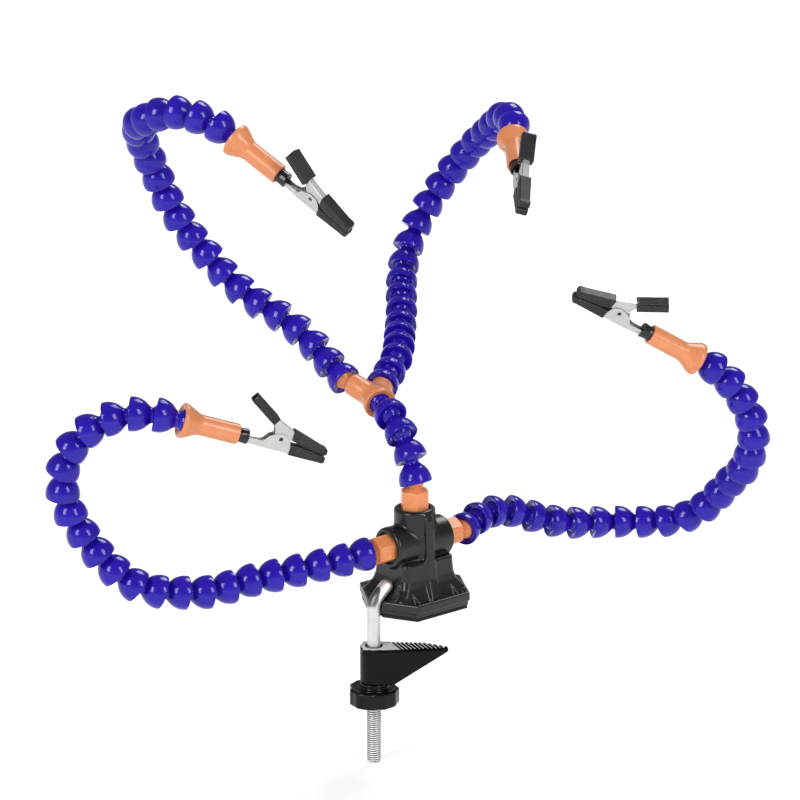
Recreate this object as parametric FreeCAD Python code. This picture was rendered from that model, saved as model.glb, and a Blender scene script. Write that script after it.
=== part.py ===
import FreeCAD, Part
import math
import os

# Flexible-arm third hand for bench work: a three-port manifold base on a
# hexagonal flange, held to a bench by a hooked rod with a wedge jaw and a
# hand knob; ball-and-socket hose arms end in nozzles that hold spring clips.
# Millimetres.  Origin: centre of the underside of the base pad.  +Z up,
# the two side ports lie along X, -Y is the front.

V = FreeCAD.Vector
os.makedirs("parts", exist_ok=True)

# ------------------------------------------------------------ driving sizes
PITCH = 13.0          # socket centre to ball centre of one hose link
LINK_R = 9.0          # outer radius of a link at the skirt of its bell
BALL_R = 6.2          # ball radius
SOCKET_R = 6.3        # socket radius, 0.1 running clearance on the ball
RIM_BACK = 2.8        # inner edge of the rim behind the socket centre
SKIRT_BACK = 3.7      # outer edge of the rim behind the socket centre
NECK_R = 4.1          # neck between dome and ball
BORE_R = 3.2          # hose bore
BALL_FRONT = 4.0      # flat nose of a ball ahead of its centre

FLANGE = [(18.0, -25.0), (32.0, 0.0), (18.0, 25.0), (-18.0, 25.0), (-32.0, 0.0), (-18.0, -25.0)]
PAD_T = 2.0           # rubber pad under the flange
FLANGE_TOP = 9.5      # top of the flange rim
BAND_TOP = 4.4        # the lower band of the flange stands 0.8 back
RIM_W = 2.6           # width of the flange rim round the recess
RECESS_FLOOR = 4.6    # floor of the recess inside the rim
PORT_Z = 35.7         # axis height of the side ports
PORT_R = 11.2         # outer radius of a port collar
PORT_X = 19.2         # end face of a side port
PORT_TOP = 55.2       # top face of the upper port
PORT_BORE_R = 6.55    # tapped bore of a port (crest radius of the fitting's thread 6.5)
PORT_BORE_L = 10.0
MOUTH_R = 8.45        # shallow dish round the bore that the hexagon sits in
MOUTH_L = 1.9
FIT_LEN = 16.7        # port face to ball centre of a fitting
HEX_AF = 13.8         # across flats of a fitting
HEX_L = 9.9           # end of the hexagon above the port face
HEX_SUNK = 1.7        # how far the hexagon stands in the port's mouth
Y_LEG = 26.0          # socket centre to ball centre of the Y fitting
Y_HALF = 30.0         # half angle of the Y, degrees

ROD_X, ROD_Y = -30.5, -3.0   # axis of the clamp rod
ROD_R = 3.6           # plain rod radius
THREAD_R = 3.95       # M8 thread, crest radius
ROD_BOTTOM = -82.0
THREAD_TOP = -20.0
HOOK_START = 4.8      # where the rod starts to bend
HOOK_BEND_R = 9.0     # centre line radius of the bend
HOOK_ANGLE = 50.0
HOOK_STRAIGHT = 6.6
NOTCH_R = 4.0         # notch in the flange that the rod lies in
JAW_TOP = -16.0
JAW_H = 20.0
JAW_BOSS_R = 7.4
JAW_REACH = 40.0
JAW_TIP_T = 2.0
JAW_W = 15.0
JAW_ANGLE = -39.0     # direction of the jaw about Z, from +X
JAW_BORE_R = 4.05
KNOB_TOP = JAW_TOP - JAW_H - 0.3
KNOB_HUB_R = 7.4
KNOB_HUB_H = 3.0
KNOB_R = 13.7
KNOB_H = 9.2
KNOB_LOBES = 11       # shallow flutes round the knob
FLUTE_AT = -120.6     # direction of one flute's middle
NUT_AF = 11.0

NOZZLE_L = 27.3       # socket centre to mouth of a nozzle
TUBE_R = 5.4
NOZZLE_BORE_R = 4.1
SHEET = 0.6           # sheet metal of the spring clips
CLIP_W = 5.4          # outer width of the fixed jaw
TAIL_W = 4.0          # width of the tail that goes into the nozzle
MOVING_W = 4.0        # outer width of the moving jaw, between the fixed ears
PIN_R = 1.0
PIVOT = (22.0, 3.4)   # pivot of a clip: ahead of the nozzle mouth, towards the handle side

# ------------------------------------------------ lie of the hose chains
# Socket centres of the links from the fitting outwards; the last entry of
# each arm is the socket centre of its nozzle.  *_NOZZLE is the direction of
# the nozzle and clip, *_HANDLE_SIDE the side the thumb handle stands on.
STEM_CENTRES = [
    (0.00, 0.00, 71.90), (-0.42, 4.18, 84.20), (-0.44, 12.10, 94.51), (0.78, 22.77, 101.84),
    (3.09, 35.04, 105.45),
]
Y_AXIS = (0.27006, 0.93016, 0.24872)
Y_SPREAD = (-0.94378, 0.20458, 0.25967)
LEFT_CENTRES = [
    (-35.90, 0.00, 35.70), (-48.74, 1.85, 34.81), (-61.23, 5.29, 33.76), (-73.52, 9.35, 32.50),
    (-85.80, 13.43, 31.29), (-98.26, 17.02, 30.35), (-110.93, 19.57, 28.93), (-123.66, 22.16, 28.64),
    (-136.03, 25.80, 30.26), (-147.98, 30.34, 32.65), (-158.81, 35.49, 37.67), (-167.45, 40.63, 45.91),
    (-174.54, 45.11, 55.84), (-180.75, 48.70, 66.69), (-186.11, 51.23, 78.26), (-189.63, 51.82, 90.76),
    (-189.97, 49.67, 103.58), (-187.17, 44.93, 115.35), (-181.52, 38.06, 124.83), (-173.43, 30.05, 131.11),
    (-163.84, 21.63, 133.57), (-154.02, 13.14, 132.82), (-144.44, 4.85, 129.90),
]
LEFT_NOZZLE = (0.86346, -0.39302, -0.31617)
LEFT_HANDLE_SIDE = (0.26779, -0.17400, 0.94763)
RIGHT_CENTRES = [
    (35.90, 0.00, 35.70), (48.22, 3.67, 37.64), (61.08, 5.54, 37.75), (73.77, 4.08, 35.32),
    (85.42, 0.20, 31.05), (97.00, -4.31, 27.22), (109.02, -8.64, 24.83), (121.14, -13.21, 23.76),
    (132.60, -19.32, 23.15), (142.47, -27.77, 23.31), (150.20, -38.07, 25.14), (156.03, -48.73, 29.77),
    (160.07, -58.43, 37.42), (161.93, -67.17, 46.87), (161.79, -76.10, 56.31), (160.87, -85.29, 65.46),
    (158.65, -92.36, 76.14), (155.79, -97.08, 87.91), (151.27, -98.88, 99.97), (144.92, -98.11, 111.28),
    (137.37, -95.92, 121.63), (128.30, -92.50, 130.30), (118.03, -88.05, 136.92),
]
RIGHT_NOZZLE = (-0.76231, 0.40027, 0.50860)
RIGHT_HANDLE_SIDE = (0.20599, -0.59492, 0.77694)
REAR_LEFT_CENTRES = [
    (-3.10, 58.65, 114.42), (-3.75, 70.05, 120.64), (-5.49, 80.61, 128.01), (-9.20, 90.54, 135.54),
    (-14.69, 100.18, 142.32), (-21.13, 109.68, 148.41), (-27.32, 118.47, 155.72), (-33.28, 126.05, 164.44),
    (-39.20, 132.12, 174.30), (-45.64, 136.92, 184.52), (-51.75, 140.26, 195.49), (-57.53, 142.37, 206.95),
    (-62.76, 143.07, 218.83), (-68.58, 142.31, 230.43), (-75.19, 138.84, 241.07), (-82.06, 132.10, 249.81),
    (-87.74, 122.22, 256.06), (-90.67, 110.33, 260.44), (-90.98, 98.19, 265.06), (-88.45, 85.67, 267.47),
    (-84.31, 73.40, 266.26), (-79.29, 62.08, 262.29), (-74.78, 51.85, 255.66),
]
REAR_LEFT_NOZZLE = (0.36013, -0.76869, -0.52860)
REAR_LEFT_HANDLE_SIDE = (-0.20183, -0.61740, 0.76032)
REAR_RIGHT_CENTRES = [
    (21.44, 53.33, 107.67), (31.89, 60.13, 111.35), (41.99, 67.11, 115.64), (50.84, 76.12, 118.69),
    (59.23, 85.75, 121.15), (67.58, 95.19, 124.33), (75.46, 104.31, 129.20), (82.99, 113.58, 134.33),
    (90.54, 122.46, 140.09), (98.39, 130.04, 147.16), (106.51, 135.32, 155.83), (114.47, 137.55, 165.86),
    (121.63, 136.46, 176.65), (127.39, 132.35, 187.56), (131.43, 125.88, 198.08), (133.88, 117.62, 207.82),
    (134.33, 108.09, 216.65), (132.41, 97.52, 223.97), (129.03, 86.91, 230.68), (125.22, 76.01, 236.65),
    (120.00, 64.30, 238.76), (113.51, 53.18, 236.93), (105.64, 44.20, 231.79),
]
REAR_RIGHT_NOZZLE = (-0.57415, -0.77261, -0.27097)
REAR_RIGHT_HANDLE_SIDE = (0.06342, -0.37193, 0.92609)

ARMS = {
    "left": (LEFT_CENTRES, LEFT_NOZZLE, LEFT_HANDLE_SIDE),
    "right": (RIGHT_CENTRES, RIGHT_NOZZLE, RIGHT_HANDLE_SIDE),
    "rear_left": (REAR_LEFT_CENTRES, REAR_LEFT_NOZZLE, REAR_LEFT_HANDLE_SIDE),
    "rear_right": (REAR_RIGHT_CENTRES, REAR_RIGHT_NOZZLE, REAR_RIGHT_HANDLE_SIDE),
}
# first link of each rigid group of links, counted from 0
GROUPS = {
    "left": (0, 7, 14),
    "right": (0, 7, 14),
    "rear_left": (0, 8, 15),
    "rear_right": (0, 7, 15),
}


# ------------------------------------------------------------------ helpers
def vec(p):
    return V(p[0], p[1], p[2])


def unit(v):
    v = V(v)
    v.normalize()
    return v


def frame(origin, xdir, ydir=None):
    """Placement whose local x runs along xdir and local y near ydir."""
    x = unit(xdir)
    if ydir is None:
        ydir = V(0, 0, 1) if abs(x.z) < 0.9 else V(0, 1, 0)
    y = V(ydir) - x * x.dot(ydir)
    y = unit(y)
    z = x.cross(y)
    m = FreeCAD.Matrix(x.x, y.x, z.x, origin.x,
                       x.y, y.y, z.y, origin.y,
                       x.z, y.z, z.z, origin.z,
                       0, 0, 0, 1)
    return FreeCAD.Placement(m)


def placed(shape, pl):
    s = shape.copy()
    s.Placement = pl.multiply(s.Placement)
    return s


def seg(a, b):
    return Part.makeLine(V(a[0], a[1], 0), V(b[0], b[1], 0))


def arc(a, b, centre, radius, up=True):
    """Arc of a circle in the local XY plane from a to b, bulging away from the x axis."""
    a1 = math.atan2(a[1] - centre[1], a[0] - centre[0])
    b1 = math.atan2(b[1] - centre[1], b[0] - centre[0])
    mid = 0.5 * (a1 + b1)
    m = (centre[0] + radius * math.cos(mid), centre[1] + radius * math.sin(mid))
    return Part.Arc(V(a[0], a[1], 0), V(m[0], m[1], 0), V(b[0], b[1], 0)).toShape()


def revolve_x(edges):
    face = Part.Face(Part.Wire(Part.__sortEdges__(edges)))
    return Part.makeSolid(face.revolve(V(0, 0, 0), V(1, 0, 0), 360.0)) if not face.revolve(
        V(0, 0, 0), V(1, 0, 0), 360.0).Solids else face.revolve(V(0, 0, 0), V(1, 0, 0), 360.0).Solids[0]


def on_circle(radius, x=None, r=None):
    """The missing coordinate of a point on a circle about the origin."""
    return math.sqrt(radius * radius - (x if x is not None else r) ** 2)


def poly(points, z0, z1):
    """Prism of an XY polygon from z0 to z1."""
    pts = [V(p[0], p[1], z0) for p in points]
    w = Part.makePolygon(pts + [pts[0]])
    return Part.Face(w).extrude(V(0, 0, z1 - z0))


def prism_z(points, half):
    """Prism of a local XY polygon, centred on the XY plane, 2*half thick."""
    return poly(points, -half, half)


def save(name, shapes):
    if not isinstance(shapes, (list, tuple)):
        shapes = [shapes]
    solids = []
    for s in shapes:
        solids.extend(s.Solids)
    for s in solids:
        if not s.isValid() or s.Volume <= 0:
            print("BAD", name, s.isValid(), s.Volume)
    out = solids[0] if len(solids) == 1 else Part.makeCompound(solids)
    out.exportStep("parts/%s.step" % name)
    print(name, len(solids), round(sum(s.Volume for s in solids), 1))


def polygon_offset(points, d):
    """Points of a convex polygon moved inwards by d."""
    n = len(points)
    out = []
    area = sum(points[i][0] * points[(i + 1) % n][1] - points[(i + 1) % n][0] * points[i][1] for i in range(n))
    sgn = 1.0 if area > 0 else -1.0
    lines = []
    for i in range(n):
        (x0, y0), (x1, y1) = points[i], points[(i + 1) % n]
        l = math.hypot(x1 - x0, y1 - y0)
        nx, ny = -(y1 - y0) / l * sgn, (x1 - x0) / l * sgn
        lines.append((x0 + nx * d, y0 + ny * d, x1 - x0, y1 - y0))
    for i in range(n):
        x0, y0, dx0, dy0 = lines[i - 1]
        x1, y1, dx1, dy1 = lines[i]
        det = dx0 * (-dy1) + dx1 * dy0
        t = ((x1 - x0) * (-dy1) + dx1 * (y1 - y0)) / det
        out.append((x0 + t * dx0, y0 + t * dy0))
    return out


# --------------------------------------------------------------- hose links
def ball_edges(cx, start):
    """Outer edges from the neck at x=start over a ball centred at cx to the bore."""
    xb = cx - on_circle(BALL_R, r=NECK_R)
    rn = on_circle(BALL_R, x=BALL_FRONT)
    return [
        seg((start, NECK_R), (xb, NECK_R)),
        arc((xb, NECK_R), (cx + BALL_FRONT, rn), (cx, 0), BALL_R),
        seg((cx + BALL_FRONT, rn), (cx + BALL_FRONT + 0.5, rn - 0.7)),
        seg((cx + BALL_FRONT + 0.5, rn - 0.7), (cx + BALL_FRONT + 0.5, BORE_R)),
    ]


def socket_edges():
    """Inner edges of a socket from the bore to the rim, and the coned face of the rim."""
    xs = on_circle(SOCKET_R, r=BORE_R)
    ri = on_circle(SOCKET_R, x=RIM_BACK)
    return xs, [
        arc((xs, BORE_R), (-RIM_BACK, ri), (0, 0), SOCKET_R),
        seg((-RIM_BACK, ri), (-SKIRT_BACK, 7.9)),
        seg((-SKIRT_BACK, 7.9), (-SKIRT_BACK, 8.75)),
        seg((-SKIRT_BACK, 8.75), (-SKIRT_BACK + 0.3, 8.92)),
    ]


def three(a, b, c):
    """Arc in the local XY plane through three points."""
    return Part.Arc(V(a[0], a[1], 0), V(b[0], b[1], 0), V(c[0], c[1], 0)).toShape()


def bell_edges():
    """Outer edges of a link's bell from the rim to the waist."""
    return [three((-SKIRT_BACK + 0.3, 8.92), (-1.9, LINK_R), (-0.35, 8.84)),
            three((-0.35, 8.84), (2.2, 8.07), (4.7, 6.57)),
            seg((4.7, 6.57), (6.6, 4.75))]


def link():
    xs, inner = socket_edges()
    e = list(inner)
    e += bell_edges()
    e.append(seg((6.6, 4.75), (7.3, NECK_R)))
    e += ball_edges(PITCH, 7.3)
    e.append(seg((PITCH + BALL_FRONT + 0.5, BORE_R), (xs, BORE_R)))
    return revolve_x(e)


LINK = link()


def link_group(centres, first, last, last_dir=None):
    out = []
    for i in range(first, last):
        c = vec(centres[i])
        d = vec(centres[i + 1]) - c
        out.append(placed(LINK, frame(c, d)))
    return out


# ------------------------------------------------------------ ball fittings
def hexagon(af, x0, x1, turn=0.0):
    r = af / math.sqrt(3.0)
    pts = [V(x0, r * math.cos(math.radians(60 * i + turn)), r * math.sin(math.radians(60 * i + turn)))
           for i in range(6)]
    w = Part.makePolygon(pts + [pts[0]])
    return Part.Face(w).extrude(V(x1 - x0, 0, 0))


def fitting():
    """Local origin at the port face, x outwards."""
    x_hex = HEX_L
    e = [seg((-9.0, BORE_R), (-9.0, 5.9)), seg((-9.0, 5.9), (-8.4, 6.5)), seg((-8.4, 6.5), (0.0, 6.5)),
         seg((0.0, 6.5), (0.0, 5.6)), seg((0.0, 5.6), (x_hex, 5.6)), seg((x_hex, 5.6), (x_hex + 0.9, NECK_R))]
    e += ball_edges(FIT_LEN, x_hex + 0.9)
    e.append(seg((FIT_LEN + BALL_FRONT + 0.5, BORE_R), (-9.0, BORE_R)))
    core = revolve_x(e)
    hx = hexagon(HEX_AF, -HEX_SUNK, x_hex)
    # both ends of the hexagon are turned down at the corners
    xa = -HEX_SUNK
    cone = revolve_x([seg((xa, 0), (xa, 7.3)), seg((xa, 7.3), (xa + 0.5, 8.0)), seg((xa + 0.5, 8.0), (x_hex - 0.9, 8.0)),
                      seg((x_hex - 0.9, 8.0), (x_hex, 6.3)), seg((x_hex, 6.3), (x_hex, 0)), seg((x_hex, 0), (xa, 0))])
    hx = hx.common(cone)
    bore = Part.makeCylinder(BORE_R, 40, V(-15, 0, 0), V(1, 0, 0))
    return core.fuse(hx).cut(bore).removeSplitter()


FITTING = fitting()

# ------------------------------------------------------------------ Y piece
def y_fitting():
    """Local origin at the socket centre, x along the stem, the legs in the local XY plane."""
    trunk = revolve_x([seg((-SKIRT_BACK, 0), (-SKIRT_BACK, 8.75)), seg((-SKIRT_BACK, 8.75), (-SKIRT_BACK + 0.3, 8.92))]
                      + bell_edges()[:2]
                      + [seg((4.7, 6.57), (7.0, 5.5)), seg((7.0, 5.5), (11.0, 5.3)), seg((11.0, 5.3), (11.0, 0)),
                         seg((11.0, 0), (-SKIRT_BACK, 0))])
    body = trunk
    bores = []
    for s in (1, -1):
        a = math.radians(Y_HALF) * s
        pl = frame(V(0, 0, 0), V(math.cos(a), math.sin(a), 0), V(0, 0, 1))
        e = [seg((4.0, 0), (4.0, 5.3)), seg((4.0, 5.3), (16.6, 5.3)), seg((16.6, 5.3), (17.8, NECK_R))]
        xb = Y_LEG - on_circle(BALL_R, r=NECK_R)
        rn = on_circle(BALL_R, x=BALL_FRONT)
        e += [seg((17.8, NECK_R), (xb, NECK_R)), arc((xb, NECK_R), (Y_LEG + BALL_FRONT, rn), (Y_LEG, 0), BALL_R),
              seg((Y_LEG + BALL_FRONT, rn), (Y_LEG + BALL_FRONT + 0.5, rn - 0.7)),
              seg((Y_LEG + BALL_FRONT + 0.5, rn - 0.7), (Y_LEG + BALL_FRONT + 0.5, 0)),
              seg((Y_LEG + BALL_FRONT + 0.5, 0), (4.0, 0))]
        leg = revolve_x(e)
        leg = placed(leg, pl)
        body = body.fuse(leg)
        b = placed(Part.makeCylinder(BORE_R, 40, V(2.0, 0, 0), V(1, 0, 0)), pl)
        bores.append(b)
    web = prism_z([(9.0, 0.0), (13.5, 5.8), (15.2, 4.6), (15.2, -4.6), (13.5, -5.8)], 2.2)
    body = body.fuse(web)
    for b in bores:
        body = body.cut(b)
    body = body.cut(Part.makeSphere(SOCKET_R))
    ri = on_circle(SOCKET_R, x=RIM_BACK)
    body = body.cut(revolve_x([seg((-RIM_BACK, 0), (-RIM_BACK, ri)), seg((-RIM_BACK, ri), (-SKIRT_BACK, 7.9)),
                               seg((-SKIRT_BACK, 7.9), (-SKIRT_BACK - 1, 7.9)), seg((-SKIRT_BACK - 1, 7.9), (-SKIRT_BACK - 1, 0)),
                               seg((-SKIRT_BACK - 1, 0), (-RIM_BACK, 0))]))
    return body.removeSplitter()


# -------------------------------------------------------------- base casting
def rounded_section(ax, ay, r, z):
    """Closed wire: a rectangle of half sizes ax, ay with corner radius r at height z."""
    e = []
    cs = [(ax - r, ay - r, 0), (-ax + r, ay - r, 90), (-ax + r, -ay + r, 180), (ax - r, -ay + r, 270)]
    pts = []
    for cx, cy, a0 in cs:
        p = []
        for k in (0, 45, 90):
            a = math.radians(a0 + k)
            p.append(V(cx + r * math.cos(a), cy + r * math.sin(a), z))
        pts.append(p)
    for i in range(4):
        p = pts[i]
        q = pts[(i + 1) % 4]
        e.append(Part.Arc(p[0], p[1], p[2]).toShape())
        e.append(Part.makeLine(p[2], q[0]))
    return Part.Wire(e)


def base_body():
    z0 = PAD_T
    outer = polygon_offset(FLANGE, 0.0)
    flange = poly(outer, BAND_TOP, FLANGE_TOP)
    low = Part.makeLoft([Part.makePolygon([V(x, y, z0) for x, y in (lambda q: q + [q[0]])(polygon_offset(FLANGE, 1.4))]),
                         Part.makePolygon([V(x, y, z0 + 0.7) for x, y in (lambda q: q + [q[0]])(polygon_offset(FLANGE, 0.8))])], True, True)
    band = poly(polygon_offset(FLANGE, 0.8), z0 + 0.7, BAND_TOP)
    body = flange.fuse(low).fuse(band)
    recess = poly(polygon_offset(FLANGE, RIM_W), RECESS_FLOOR, FLANGE_TOP + 5)
    body = body.cut(recess)
    # waisted column under the ports
    secs = [(26.5, 20.0, 3.0, RECESS_FLOOR - 1.0), (25.0, 18.6, 4.0, 8.5), (21.4, 16.6, 5.0, 11.5),
            (18.6, 15.0, 5.0, 15.0), (17.4, 14.1, 5.0, 19.0), (17.0, 13.7, 5.0, 24.0), (16.9, 13.6, 5.0, 28.2)]
    column = Part.makeLoft([rounded_section(*s) for s in secs], True, True)
    body = body.fuse(column)
    # ports
    side = Part.makeCylinder(PORT_R, 2 * PORT_X, V(-PORT_X, 0, PORT_Z), V(1, 0, 0))
    top = Part.makeCylinder(PORT_R, PORT_TOP - PORT_Z + 8, V(0, 0, PORT_Z - 8), V(0, 0, 1))
    body = body.fuse(side).fuse(top)
    # front and back spine, widening to a foot on the recess floor
    for s in (1, -1):
        pts = [V(0, s * 8.0, 53.0), V(0, s * 12.9, 52.2), V(0, s * 13.6, 46.0), V(0, s * 14.4, 30.0), V(0, s * 15.6, 18.0),
               V(0, s * 20.8, RECESS_FLOOR + 0.2), V(0, s * 8.0, RECESS_FLOOR + 0.2)]
        w = Part.makePolygon([V(-2.9, p.y, p.z) for p in pts] + [V(-2.9, pts[0].y, pts[0].z)])
        body = body.fuse(Part.Face(w).extrude(V(5.8, 0, 0)))
    # gussets between the column foot and the rim
    for x in (-13.0, 13.0):
        for s in (1, -1):
            g = Part.makePolygon([V(x - 0.9, s * 12.0, FLANGE_TOP + 4.5), V(x - 0.9, s * 22.8, FLANGE_TOP - 1.2),
                                  V(x - 0.9, s * 22.8, RECESS_FLOOR - 0.4), V(x - 0.9, s * 12.0, RECESS_FLOOR - 0.4),
                                  V(x - 0.9, s * 12.0, FLANGE_TOP + 4.5)])
            body = body.fuse(Part.Face(g).extrude(V(1.8, 0, 0)))
    for y in (-9.6, 9.6):
        for s in (1, -1):
            g = Part.makePolygon([V(s * 14.0, y - 0.9, FLANGE_TOP + 5.5), V(s * 24.4, y - 0.9, FLANGE_TOP - 1.2),
                                  V(s * 24.4, y - 0.9, RECESS_FLOOR - 0.4), V(s * 14.0, y - 0.9, RECESS_FLOOR - 0.4),
                                  V(s * 14.0, y - 0.9, FLANGE_TOP + 5.5)])
            body = body.fuse(Part.Face(g).extrude(V(0, 1.8, 0)))
    # tapped port bores and the through passage between them
    tool = Part.makeCylinder(PORT_BORE_R, PORT_BORE_L, V(-PORT_X, 0, PORT_Z), V(1, 0, 0))
    tool = tool.fuse(Part.makeCylinder(PORT_BORE_R, PORT_BORE_L, V(PORT_X, 0, PORT_Z), V(-1, 0, 0)))
    tool = tool.fuse(Part.makeCylinder(PORT_BORE_R, PORT_BORE_L, V(0, 0, PORT_TOP), V(0, 0, -1)))
    tool = tool.fuse(Part.makeCylinder(4.2, 2 * PORT_X - 4, V(-PORT_X + 2, 0, PORT_Z), V(1, 0, 0)))
    tool = tool.fuse(Part.makeCylinder(4.2, PORT_TOP - PORT_Z - 2, V(0, 0, PORT_Z), V(0, 0, 1)))
    body = body.cut(tool)
    # dished mouths of the ports
    for c in (Part.makeCylinder(MOUTH_R, MOUTH_L, V(PORT_X - MOUTH_L, 0, PORT_Z), V(1, 0, 0)),
              Part.makeCylinder(MOUTH_R, MOUTH_L, V(-PORT_X + MOUTH_L, 0, PORT_Z), V(-1, 0, 0)),
              Part.makeCylinder(MOUTH_R, MOUTH_L, V(0, 0, PORT_TOP - MOUTH_L), V(0, 0, 1))):
        body = body.cut(c)
    # notch for the clamp rod, open through the left corner, and the seat above it for the hook
    notch = Part.makeCylinder(NOTCH_R, 40, V(ROD_X, ROD_Y, -5), V(0, 0, 1))
    notch = notch.fuse(poly([(ROD_X, ROD_Y - NOTCH_R), (ROD_X, ROD_Y + NOTCH_R), (-40, ROD_Y + NOTCH_R),
                             (-40, ROD_Y - NOTCH_R)], -5, 35))
    body = body.cut(notch)
    body = body.cut(hook_clear())
    # small drain holes at the two ends of the recess
    for x, y in ((-24.0, 9.0), (26.0, 0.0)):
        body = body.cut(Part.makeCylinder(1.3, 10, V(x, y, PAD_T - 1), V(0, 0, 1)))
    return body.removeSplitter()


def rod_path(radius, extra=0.0):
    """Solid of the bent upper end of the rod, from HOOK_START up."""
    a = math.radians(HOOK_ANGLE)
    c0 = V(ROD_X, ROD_Y, HOOK_START)
    prof = Part.Face(Part.Wire(Part.makeCircle(radius, c0, V(0, 0, 1))))
    bend = prof.revolve(V(ROD_X + HOOK_BEND_R, ROD_Y, HOOK_START), V(0, 1, 0), HOOK_ANGLE)
    bend = bend.Solids[0]
    tipdir = V(math.sin(a), 0, math.cos(a))
    p1 = V(ROD_X + HOOK_BEND_R * (1 - math.cos(a)), ROD_Y, HOOK_START + HOOK_BEND_R * math.sin(a))
    straight = Part.makeCylinder(radius, HOOK_STRAIGHT + extra, p1, tipdir)
    ball = Part.makeSphere(radius, p1 + tipdir * (HOOK_STRAIGHT + extra))
    return bend, straight, ball


def hook_clear():
    """Room round the hook for it to lie in the flange and swing a little."""
    out = None
    for ang in (-12.0, -6.0, 0.0, 6.0, 12.0):
        b, s, k = rod_path(ROD_R + 0.45)
        sh = b.fuse(s).fuse(k)
        sh.rotate(V(ROD_X, ROD_Y, 0), V(0, 0, 1), ang)
        out = sh if out is None else out.fuse(sh)
    return out


def base_pad():
    p = poly(polygon_offset(FLANGE, 1.2), 0.0, PAD_T)
    notch = Part.makeCylinder(NOTCH_R + 0.3, 20, V(ROD_X, ROD_Y, -5), V(0, 0, 1))
    notch = notch.fuse(poly([(ROD_X, ROD_Y - NOTCH_R - 0.3), (ROD_X, ROD_Y + NOTCH_R + 0.3),
                             (-40, ROD_Y + NOTCH_R + 0.3), (-40, ROD_Y - NOTCH_R - 0.3)], -5, 15))
    return p.cut(notch).removeSplitter()


# -------------------------------------------------------------- bench clamp
def clamp_rod():
    b, s, k = rod_path(ROD_R)
    shank = Part.makeCylinder(ROD_R, HOOK_START - THREAD_TOP, V(ROD_X, ROD_Y, THREAD_TOP), V(0, 0, 1))
    thr = Part.makeCylinder(THREAD_R, THREAD_TOP - ROD_BOTTOM - 1.0, V(ROD_X, ROD_Y, ROD_BOTTOM + 1.0), V(0, 0, 1))
    tip = Part.makeCone(3.1, THREAD_R, 1.0, V(ROD_X, ROD_Y, ROD_BOTTOM), V(0, 0, 1))
    neck = Part.makeCone(THREAD_R, ROD_R, 0.6, V(ROD_X, ROD_Y, THREAD_TOP), V(0, 0, 1))
    return shank.fuse(thr).fuse(tip).fuse(neck).fuse(b).fuse(s).fuse(k).removeSplitter()


def clamp_jaw():
    """Wedge jaw: boss round the rod, ribbed flat top, underside sloping up to the tip."""
    z1 = JAW_TOP
    z0 = JAW_TOP - JAW_H
    boss = Part.makeCylinder(JAW_BOSS_R, JAW_H, V(0, 0, z0), V(0, 0, 1))
    side = [V(0, -JAW_W / 2, z0), V(11.0, -JAW_W / 2, z0), V(JAW_REACH, -JAW_W / 2, z1 - JAW_TIP_T),
            V(JAW_REACH, -JAW_W / 2, z1 - 0.8), V(0, -JAW_W / 2, z1 - 0.8)]
    wedge = Part.Face(Part.makePolygon(side + [side[0]])).extrude(V(0, JAW_W, 0))
    # plan shape narrows a little and is rounded at the tip
    plan = poly([(-8, -8), (6, -JAW_W / 2), (JAW_REACH - 1.2, -JAW_W / 2 + 3.6), (JAW_REACH, -JAW_W / 2 + 4.4),
                 (JAW_REACH, 0.0), (27.5, JAW_W / 2 - 1.6), (6, JAW_W / 2), (-8, 8)], z0 - 1, z1 + 1)
    wedge = wedge.common(plan)
    body = boss.fuse(wedge)
    table = poly([(-6, -6.9), (6.0, -6.9), (14.6, -6.1), (8.8, 6.4), (-6, 6.9)], z1 - 0.9, z1).fuse(
        Part.makeCylinder(JAW_BOSS_R, 0.9, V(0, 0, z1 - 0.9), V(0, 0, 1)))
    body = body.fuse(table)
    # slanting ribs on the outer part of the top
    top = poly([(6.0, -6.9), (JAW_REACH - 1.6, -3.4), (JAW_REACH - 0.6, -2.6), (JAW_REACH - 0.6, -0.6), (27.2, 5.3), (6.0, 6.9)], z1 - 1.0, z1)
    x = 15.6
    while x < JAW_REACH + 1.0:
        rib = poly([(x, -6.6), (x + 1.3, -6.6), (x + 1.3 - 6.2, 6.8), (x - 6.2, 6.8)], z1 - 1.0, z1)
        body = body.fuse(rib.common(top))
        x += 2.3
    body = body.cut(Part.makeCylinder(JAW_BORE_R, JAW_H + 2, V(0, 0, z0 - 1), V(0, 0, 1)))
    body = body.removeSplitter()
    body.rotate(V(0, 0, 0), V(0, 0, 1), JAW_ANGLE)
    body.translate(V(ROD_X, ROD_Y, 0))
    return body


def knob_nut():
    """Hexagonal threaded insert moulded into the knob."""
    r = NUT_AF / math.sqrt(3.0)
    z1 = KNOB_TOP - 0.6
    pts = [(r * math.cos(math.radians(60 * i)), r * math.sin(math.radians(60 * i))) for i in range(6)]
    n = poly(pts, z1 - 8.0, z1)
    n = n.cut(Part.makeCylinder(THREAD_R + 0.06, 20, V(0, 0, z1 - 12), V(0, 0, 1)))
    n.translate(V(ROD_X, ROD_Y, 0))
    return n


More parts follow.
